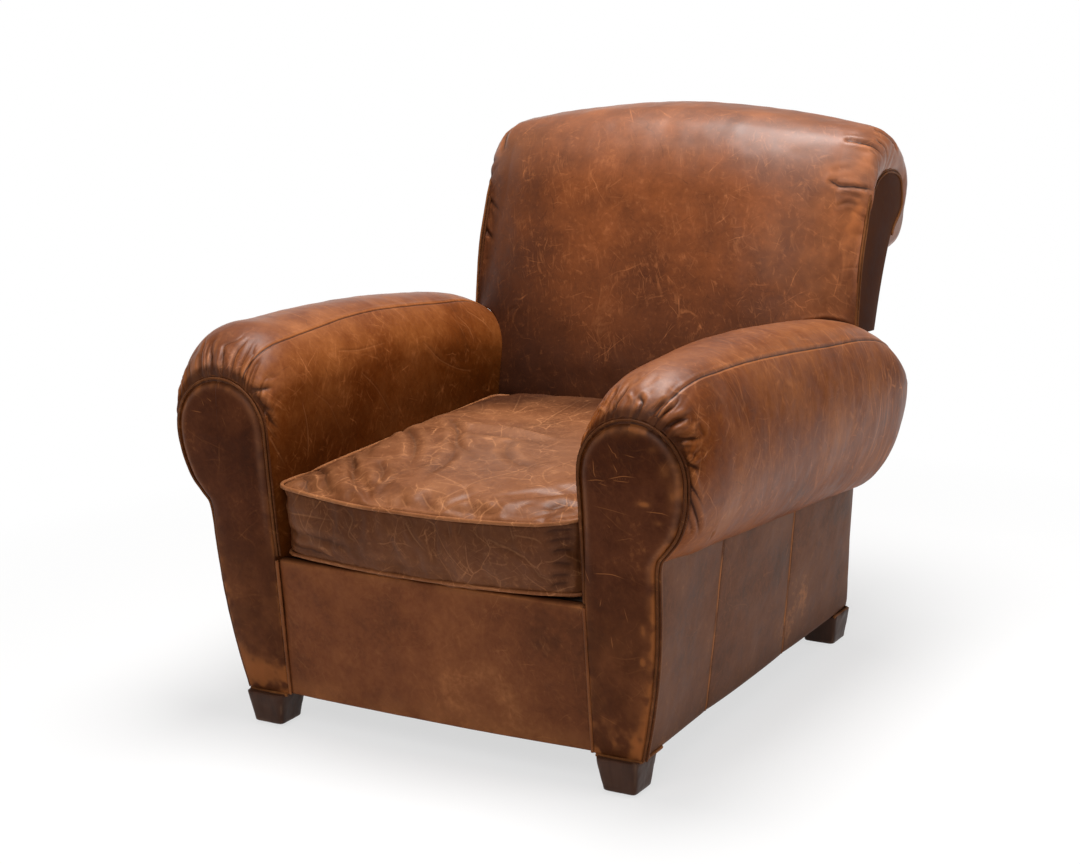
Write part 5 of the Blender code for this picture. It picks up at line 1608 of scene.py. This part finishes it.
def make_cushion(material, seed, top_lines, side_lines):
    """A box cushion: the skin settles as cloth under its filling, then its creases are pressed in.

    The motion of each point is capped. The top's folds are drawn on (x, y) and the boxing's on
    (distance round from the middle of the front, height).
    """
    size = (CUSHION_HALF_WIDTH, CUSHION_FRONT_Y, CUSHION_REAR_Y)
    box, quads, top_rim, low_rim = box_grid(*size, CUSHION_LOW_Z, CUSHION_TOP_Z, CUSHION_GRID)
    start = cushion_shape(round_corners(box, *size, CUSHION_CORNER))
    totals = np.full(len(quads), 4)
    mesh = mesh_of("cushion", start, quads.reshape(-1), totals)
    obj = new_object("cushion", mesh, material)
    shape = start
    shape = relax_cloth(obj, np.concatenate([top_rim, low_rim]))
    move = shape - start
    length = np.linalg.norm(move, axis=1, keepdims=True)
    shape = start + move * np.minimum(1.0, CLOTH_MOST_MOVE / np.maximum(length, 1e-9))
    mesh.vertices.foreach_set("co", shape.astype(np.float32).ravel())
    add_fields(mesh, {}, box)
    rims = [shape[top_rim].copy(), shape[low_rim].copy()]
    divide = obj.modifiers.new("finer", "SUBSURF")
    divide.levels = divide.render_levels = 1
    graph = bpy.context.evaluated_depsgraph_get()
    fine = bpy.data.meshes.new_from_object(obj.evaluated_get(graph))
    obj.modifiers.remove(divide)
    obj.data = fine
    bpy.data.meshes.remove(mesh)
    fine.name = "cushion"
    co, box, normal = [read_array(data, key).astype(float) for data, key in (
        (fine.vertices, "co"), (fine.attributes["chart"].data, "vector"), (fine.vertices, "normal"))]
    x, y, z = box.T
    on_top = ease(CUSHION_TOP_Z - 0.003, CUSHION_TOP_Z - 0.0005, z)
    wide_lines = [(points, depth, 1.4 * width, pale) for points, depth, width, pale in top_lines]
    height, near, strokes, lit = folds(x, y, wide_lines)
    flank = np.where(x > 0, 1, -1) * (CUSHION_HALF_WIDTH + y - CUSHION_FRONT_Y)
    round_q = np.where(y < CUSHION_FRONT_Y + 0.004, x, flank)
    side_height, side_near, side_strokes, side_lit = folds(round_q, z, side_lines)
    here = np.stack([x, y, z], 1)
    wrinkle = rough_noise(here, 16.0, seed, 2)
    ridge = (1.0 - np.abs(rough_noise(here * np.array([1.0, 1.0, 0.6]), 30.0, seed + 3, 2))) ** 5
    height = on_top * 1.35 * height + (1.0 - on_top) * 1.4 * side_height
    height = height + 0.0008 * wrinkle - 0.0006 * ridge
    near = on_top * near + (1.0 - on_top) * side_near
    strokes = {key: np.where(on_top > 0.5, strokes[key], side_strokes[key]) for key in strokes}
    strokes["cut"] = strokes["cut"] * 0.35
    co = co + normal * height[:, None]
    fine.vertices.foreach_set("co", co.astype(np.float32).ravel())
    scuff = unit(rough_noise(here, 14.0, seed + 6, 3))
    lower = (1.0 - on_top) * ease(CUSHION_TOP_Z, CUSHION_LOW_Z + 0.02, z)
    # Where it is sat on: worn leather, and a painted sheen across the middle of the top.
    seat_wear_and_sheen = 0.25 * on_top * hump(x, 0.04, 0.20) * hump(y, -0.24, 0.18)
    # The folds' ridges on the top and the boxing are a painted highlight.
    wear = 0.30 * scuff * on_top + seat_wear_and_sheen + 0.30 * lit * on_top + 0.15 * side_lit * (1.0 - on_top)
    # Painted shade on the top towards the rear, under the back, and towards the left.
    shade_rear_and_left = 1.00 * ease(-0.10, 0.10, y) + 0.50 * ease(-0.08, -0.25, x)
    # The boxing darker than the top, less so low down, and painted shade in the folds.
    dirt = 0.80 * (1.0 - on_top) - 0.20 * lower - 0.2 * scuff + 0.35 * near + on_top * shade_rear_and_left
    gleam = 0.02 + on_top * 0.98 * hump(x, 0.04, 0.21) * hump(y, -0.24, 0.18)
    add_fields(fine, {"wear": unit(wear), "dirt": unit(dirt), "gleam": gleam,
                      **strokes})
    fine.shade_smooth()
    face_outwards(fine)
    place(obj, "cushion_leather", ("seat_cushion",), CUSHION_FILL)
    for rim, (name, out, beside, rubbed) in zip(rims, CUSHION_PIPINGS):
        away = rim - rim.mean(0)
        away /= np.linalg.norm(away[:, :2], axis=1, keepdims=True)
        away[:, 2] = beside
        piping(name, rim + away * out, CUSHION_PIPING_RADIUS, material, rubbed, seed + 8, closed=True,
               slot="cushion_leather")


def make_deck(material):
    """The padded deck under the cushion: a slab with a low crown and rounded rims."""
    x, y = np.meshgrid(np.linspace(-DECK_HALF_WIDTH, DECK_HALF_WIDTH, 60),
                       np.linspace(DECK_FRONT_Y, DECK_REAR_Y, 80))
    crown = 0.004 * np.cos(x * 5.0) * np.cos((y + 0.11) * 3.5)
    rim = np.minimum(np.minimum(DECK_HALF_WIDTH - np.abs(x), y - DECK_FRONT_Y), DECK_REAR_Y - y)
    fall = 1.0 - np.sqrt(1.0 - (1.0 - unit(rim / DECK_ROUND)) ** 2)
    face = np.stack([x, y, DECK_Z + crown - DECK_ROUND * fall], -1)
    obj = sheet_object("deck", face, (0.0, 0.0, -1.0), DECK_THICK, material)
    place(obj, "deck_cloth", ("seat_deck",), DECK_FILL)


# ---------------------------------------------------------------- legs and the hidden frame

def make_leg(name, x, y, material, seed):
    """A tapered block: each ring is a square with rounded corners, and the top holds the bolt's hole."""
    turn = np.linspace(0.0, 2.0 * math.pi, 96, endpoint=False)
    rows = [(0.0038, 0.0250), (0.0040, 0.0268), (0.0052, 0.0278)]
    rows += [(z, 0.0278 + 0.0070 * (z - 0.006) / 0.044) for z in np.linspace(0.010, 0.0495, 14)]
    rows += [(0.0550, 0.0352), (0.0560, 0.0340)]
    cos, sin = np.cos(turn), np.sin(turn)
    square = 1.0 / (np.abs(cos) ** 9 + np.abs(sin) ** 9) ** (1 / 9)
    rings = [np.stack([half * square * cos, half * square * sin, z + 0.0 * turn], 1) for z, half in rows]
    rings += [np.stack([LEG_BOLT_RADIUS * cos, LEG_BOLT_RADIUS * sin, z + 0.0 * turn], 1)
              for z in (0.0520, 0.0210)]
    points = np.stack(rings)
    here = points + seed * 0.37
    dent = 0.0005 * rough_noise(here, 60.0, seed, 3)
    points[:-2, :, :2] *= 1.0 + (dent[:-2] / 0.03)[..., None]
    corner = hump(np.abs(np.abs(cos) - np.abs(sin)), 0.0, 0.06)[None] + 0.0 * points[..., 0]
    low = hump(points[..., 2], 0.004, 0.004)
    wear = unit((corner + low) * unit(0.5 + rough_noise(here, 45.0, seed + 3, 3)))
    obj = grid_object("block_" + name, points + np.array([x, y, 0.0]), material, {"wear": wear})
    return place(obj, "leg_wood", ("leg_" + name,))


def make_foot_piping(side, material, seed):
    """Piping round the covers' lower corner over each leg: along one face, round and along the next."""
    front_y = float(front_plane(BASE_Z)) + 0.0035
    for name, corners in (("front", ((0.281, front_y), (0.3535, front_y), (0.3560, front_y + 0.004),
                                     (0.3550, -0.418), (0.3490, -0.410))),
                          ("rear", ((0.3525, 0.240), (0.3530, 0.3000), (0.3490, 0.3045), (0.285, 0.3050)))):
        corners = np.array(corners)
        runs = [np.linspace(a, b, 60)[:-1] for a, b in zip(corners, corners[1:])]
        path = np.concatenate([*runs, corners[-1:]])
        kernel = np.ones(7) / 7
        path = np.stack([np.convolve(np.pad(axis, 3, "edge"), kernel, "valid") for axis in path.T], 1)
        droop = BASE_Z - 0.0022 + 0.0006 * noise(path[:, 0] * 60.0, path[:, 1] * 60.0, 0.3, seed)
        points = np.stack([side * path[:, 0], path[:, 1], droop], 1)
        piping(side_name("foot_piping_" + name, side), points, FOOT_PIPING_RADIUS, material, 0.95, seed)


# ---------------------------------------------------------------- stage

def make_stage(settings):
    """A wide pale floor, soft lamps, a plain world and the camera."""
    turn = np.linspace(0.0, 2.0 * math.pi, 96, endpoint=False)
    reach = np.array([0.0, 2.0, 6.0, 20.0, 60.0])[1:, None]
    points = np.stack([reach * np.cos(turn), reach * np.sin(turn), 0.0 * reach * turn], -1)
    flat = points.reshape(-1, 3)
    index = np.arange(len(flat)).reshape(points.shape[:2])
    around = np.concatenate([index, index[:, :1]], 1)
    quads = grid_quads(around)
    loops = np.concatenate([index[0], quads.reshape(-1)])
    totals = np.concatenate([[len(turn)], np.full(quads[..., 0].size, 4)])
    floor = new_object("floor", mesh_of("floor", flat, loops, totals), pale_floor("floor_paint"))

    for name, spot, aim, size, power in LAMPS:
        lamp = bpy.data.lights.new(name, "AREA")
        lamp.shape = "DISK"
        lamp.size = size
        lamp.energy = power * settings.lamp_power
        obj = bpy.data.objects.new(name, lamp)
        obj.location = spot
        obj.rotation_euler = (Vector(aim) - Vector(spot)).to_track_quat("-Z", "Y").to_euler()
        bpy.context.scene.collection.objects.link(obj)

    world = bpy.data.worlds.new("plain_room")
    bpy.context.scene.world = world
    world.use_nodes = True
    tree = world.node_tree
    seen = seen_ray(tree)
    way = tree.nodes.new("ShaderNodeTexCoord")
    split = tree.nodes.new("ShaderNodeSeparateXYZ")
    tree.links.new(way.outputs["Generated"], split.inputs[0])
    backdrop = seen * Value(tree, split.outputs["Z"]).above(0.36, 0.20)
    strength = backdrop * (1.0 - settings.room_light) + settings.room_light
    background = tree.nodes["Background"]
    background.inputs["Color"].default_value = (1.0, 1.0, 1.0, 1.0)
    tree.links.new(strength.socket, background.inputs["Strength"])

    camera = bpy.data.cameras.new("camera")
    camera.lens = settings.lens
    camera.sensor_width = 36.0
    camera.clip_end = 200.0
    obj = bpy.data.objects.new("camera", camera)
    bpy.context.scene.collection.objects.link(obj)
    bpy.context.scene.camera = obj
    around, lift, roll = [math.radians(a) for a in VIEW_ANGLES]
    back = Vector((math.sin(around) * math.cos(lift), -math.cos(around) * math.cos(lift), math.sin(lift)))
    level = Vector((math.cos(around), math.sin(around), 0.0))
    up = back.cross(level)
    right = math.cos(roll) * level + math.sin(roll) * up
    above = math.cos(roll) * up - math.sin(roll) * level
    turned = Matrix((right, above, back)).transposed()
    obj.matrix_world = Matrix.Translation(VIEW_POINT) @ turned.to_4x4()
    bpy.context.scene.view_settings.view_transform = "Standard"


# ---------------------------------------------------------------- add-on

class ChairLeather(bpy.types.PropertyGroup):
    """How worn the leather is."""
    crackle: bpy.props.FloatProperty(name="Crackle", description="Strength of the pale crease lines",
                                     default=1.0, min=0.0, max=2.0)
    scuff: bpy.props.FloatProperty(name="Scuffs", description="Strength of the pale scratches",
                                   default=1.0, min=0.0, max=2.0)


class ChairForm(bpy.types.PropertyGroup):
    """Choices that change the shapes."""
    lift: bpy.props.FloatProperty(name="Left arm lift",
                                  description="How much fuller the left arm's padding stands",
                                  default=0.010, min=0.0, max=0.03, unit="LENGTH")


class ChairStage(bpy.types.PropertyGroup):
    """The studio round the chair."""
    lamp_power: bpy.props.FloatProperty(name="Lamp power", description="Scales every lamp",
                                        default=1.0, min=0.0)
    room_light: bpy.props.FloatProperty(name="Room light", description="Strength of the room's own light",
                                        default=0.20, min=0.0, max=1.0)
    lens: bpy.props.FloatProperty(name="Lens", description="Focal length", default=70.0, min=20.0,
                                  subtype="DISTANCE_CAMERA")


def hide_of(name):
    """The leather of this kind, made the first time it is asked for."""
    found = bpy.data.materials.get(name)
    if found:
        return found
    settings = bpy.context.scene.chair_leather
    look = dict(LEATHERS[name])
    look["crackle"] = look.get("crackle", 0.0) * settings.crackle
    look["scuff"] = look.get("scuff", 1.0) * settings.scuff
    return leather(name, **look)


class CHAIR_OT_cushion(bpy.types.Operator):
    """Builds the seat cushion with its piping, and the deck under it"""
    bl_idname = "club_chair.cushion"
    bl_label = "Seat cushion"

    def execute(self, context):
        # The deck's cloth is given a dark colour to stand for the shade in the gap under the cushion's
        # front.
        make_deck(woven_cloth("deck_weave", (0.030, 0.018, 0.012), (0.085, 0.052, 0.036), 0.0016))
        make_cushion(hide_of("cushion_hide"), 11, CUSHION_LINES, BOXING_LINES)
        return {"FINISHED"}


class CHAIR_OT_arms(bpy.types.Operator):
    """Builds both arm pads"""
    bl_idname = "club_chair.arms"
    bl_label = "Arm pads"

    def execute(self, context):
        make_arm_pad(1, hide_of("arm_hide"), 21, ARM_LINES_RIGHT, 0.0)
        make_arm_pad(-1, hide_of("arm_hide"), 57, ARM_LINES_LEFT, context.scene.chair_form.lift)
        return {"FINISHED"}


class CHAIR_OT_back(bpy.types.Operator):
    """Builds the back with its end panels, and the cover behind it"""
    bl_idname = "club_chair.back"
    bl_label = "Back"

    def execute(self, context):
        make_back(hide_of("back_hide"), 31, BACK_LINES)
        for side in (-1, 1):
            make_end_panel(side, hide_of("end_hide"), hide_of("piping_hide"), 41 + side)
        make_outside_back(hide_of("side_hide"), 45)
        for side in (-1, 1):
            make_rear_corner(side, hide_of("side_hide"), 47 + side)
        return {"FINISHED"}


class CHAIR_OT_front(bpy.types.Operator):
    """Builds the arm front panels and the rail cover with their piping"""
    bl_idname = "club_chair.front"
    bl_label = "Front covers"

    def execute(self, context):
        for side in (-1, 1):
            make_front_panel(side, hide_of("panel_hide"), 61 + side,
                             PANEL_LINES_RIGHT if side > 0 else PANEL_LINES_LEFT)
            make_panel_piping(side, hide_of("piping_hide"), 71 + side)
            make_foot_piping(side, hide_of("piping_hide"), 75 + side)
        make_rail(hide_of("rail_hide"), 81)
        return {"FINISHED"}


class CHAIR_OT_sides(bpy.types.Operator):
    """Builds the outer sides with their seams"""
    bl_idname = "club_chair.sides"
    bl_label = "Side covers"

    def execute(self, context):
        for side in (-1, 1):
            make_side(side, hide_of("side_hide"), 91 + side)
        return {"FINISHED"}


class CHAIR_OT_frame(bpy.types.Operator):
    """Builds the legs and gives the hidden frame its materials"""
    bl_idname = "club_chair.frame"
    bl_label = "Legs and frame"

    def execute(self, context):
        wood = dark_wood("leg_stain")
        for number, (name, x, y) in enumerate(LEGS):
            make_leg(name, x, y, wood, 101 + number)
        finishes = {"timber": raw_timber("frame_timber"), "steel": plain_steel("frame_steel"),
                    "nylon": moulded_nylon("glide_nylon"),
                    "dust": woven_cloth("dust_weave", (0.008, 0.008, 0.009), (0.030, 0.030, 0.032), 0.0012)}
        kinds = {"glide": "nylon", "leg_bolt": "steel", "seat_spring": "steel", "dust_cover": "dust"}
        for name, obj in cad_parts.items():
            kind = next((value for key, value in kinds.items() if name.startswith(key)), "timber")
            for slot in obj.material_slots:
                slot.material = finishes[kind]
        return {"FINISHED"}


class CHAIR_OT_stage(bpy.types.Operator):
    """Sets up the floor, lamps, room and camera"""
    bl_idname = "club_chair.stage"
    bl_label = "Stage"

    def execute(self, context):
        make_stage(context.scene.chair_stage)
        return {"FINISHED"}


STEPS = (CHAIR_OT_cushion, CHAIR_OT_arms, CHAIR_OT_back, CHAIR_OT_front, CHAIR_OT_sides, CHAIR_OT_frame,
         CHAIR_OT_stage)


class CHAIR_PT_panel(bpy.types.Panel):
    """Lists the chair's steps in the sidebar"""
    bl_idname = "CHAIR_PT_panel"
    bl_label = "Club Chair"
    bl_space_type = "VIEW_3D"
    bl_region_type = "UI"
    bl_category = "Club Chair"

    def draw(self, context):
        for group in (context.scene.chair_leather, context.scene.chair_form, context.scene.chair_stage):
            box = self.layout.box()
            for key in group.bl_rna.properties.keys():
                if key not in ("rna_type", "name"):
                    box.prop(group, key)
        for step in STEPS:
            self.layout.operator(step.bl_idname)


GROUPS = (("chair_leather", ChairLeather), ("chair_form", ChairForm), ("chair_stage", ChairStage))


def register():
    for cls in (*[group for _, group in GROUPS], *STEPS, CHAIR_PT_panel):
        bpy.utils.register_class(cls)
    for key, group in GROUPS:
        setattr(bpy.types.Scene, key, bpy.props.PointerProperty(type=group))


def unregister():
    for key, _ in reversed(GROUPS):
        delattr(bpy.types.Scene, key)
    for cls in reversed((*[group for _, group in GROUPS], *STEPS, CHAIR_PT_panel)):
        bpy.utils.unregister_class(cls)


def main():
    register()
    for step in STEPS:
        group, name = step.bl_idname.split(".")
        getattr(getattr(bpy.ops, group), name)()


if __name__ == "__main__":
    main()
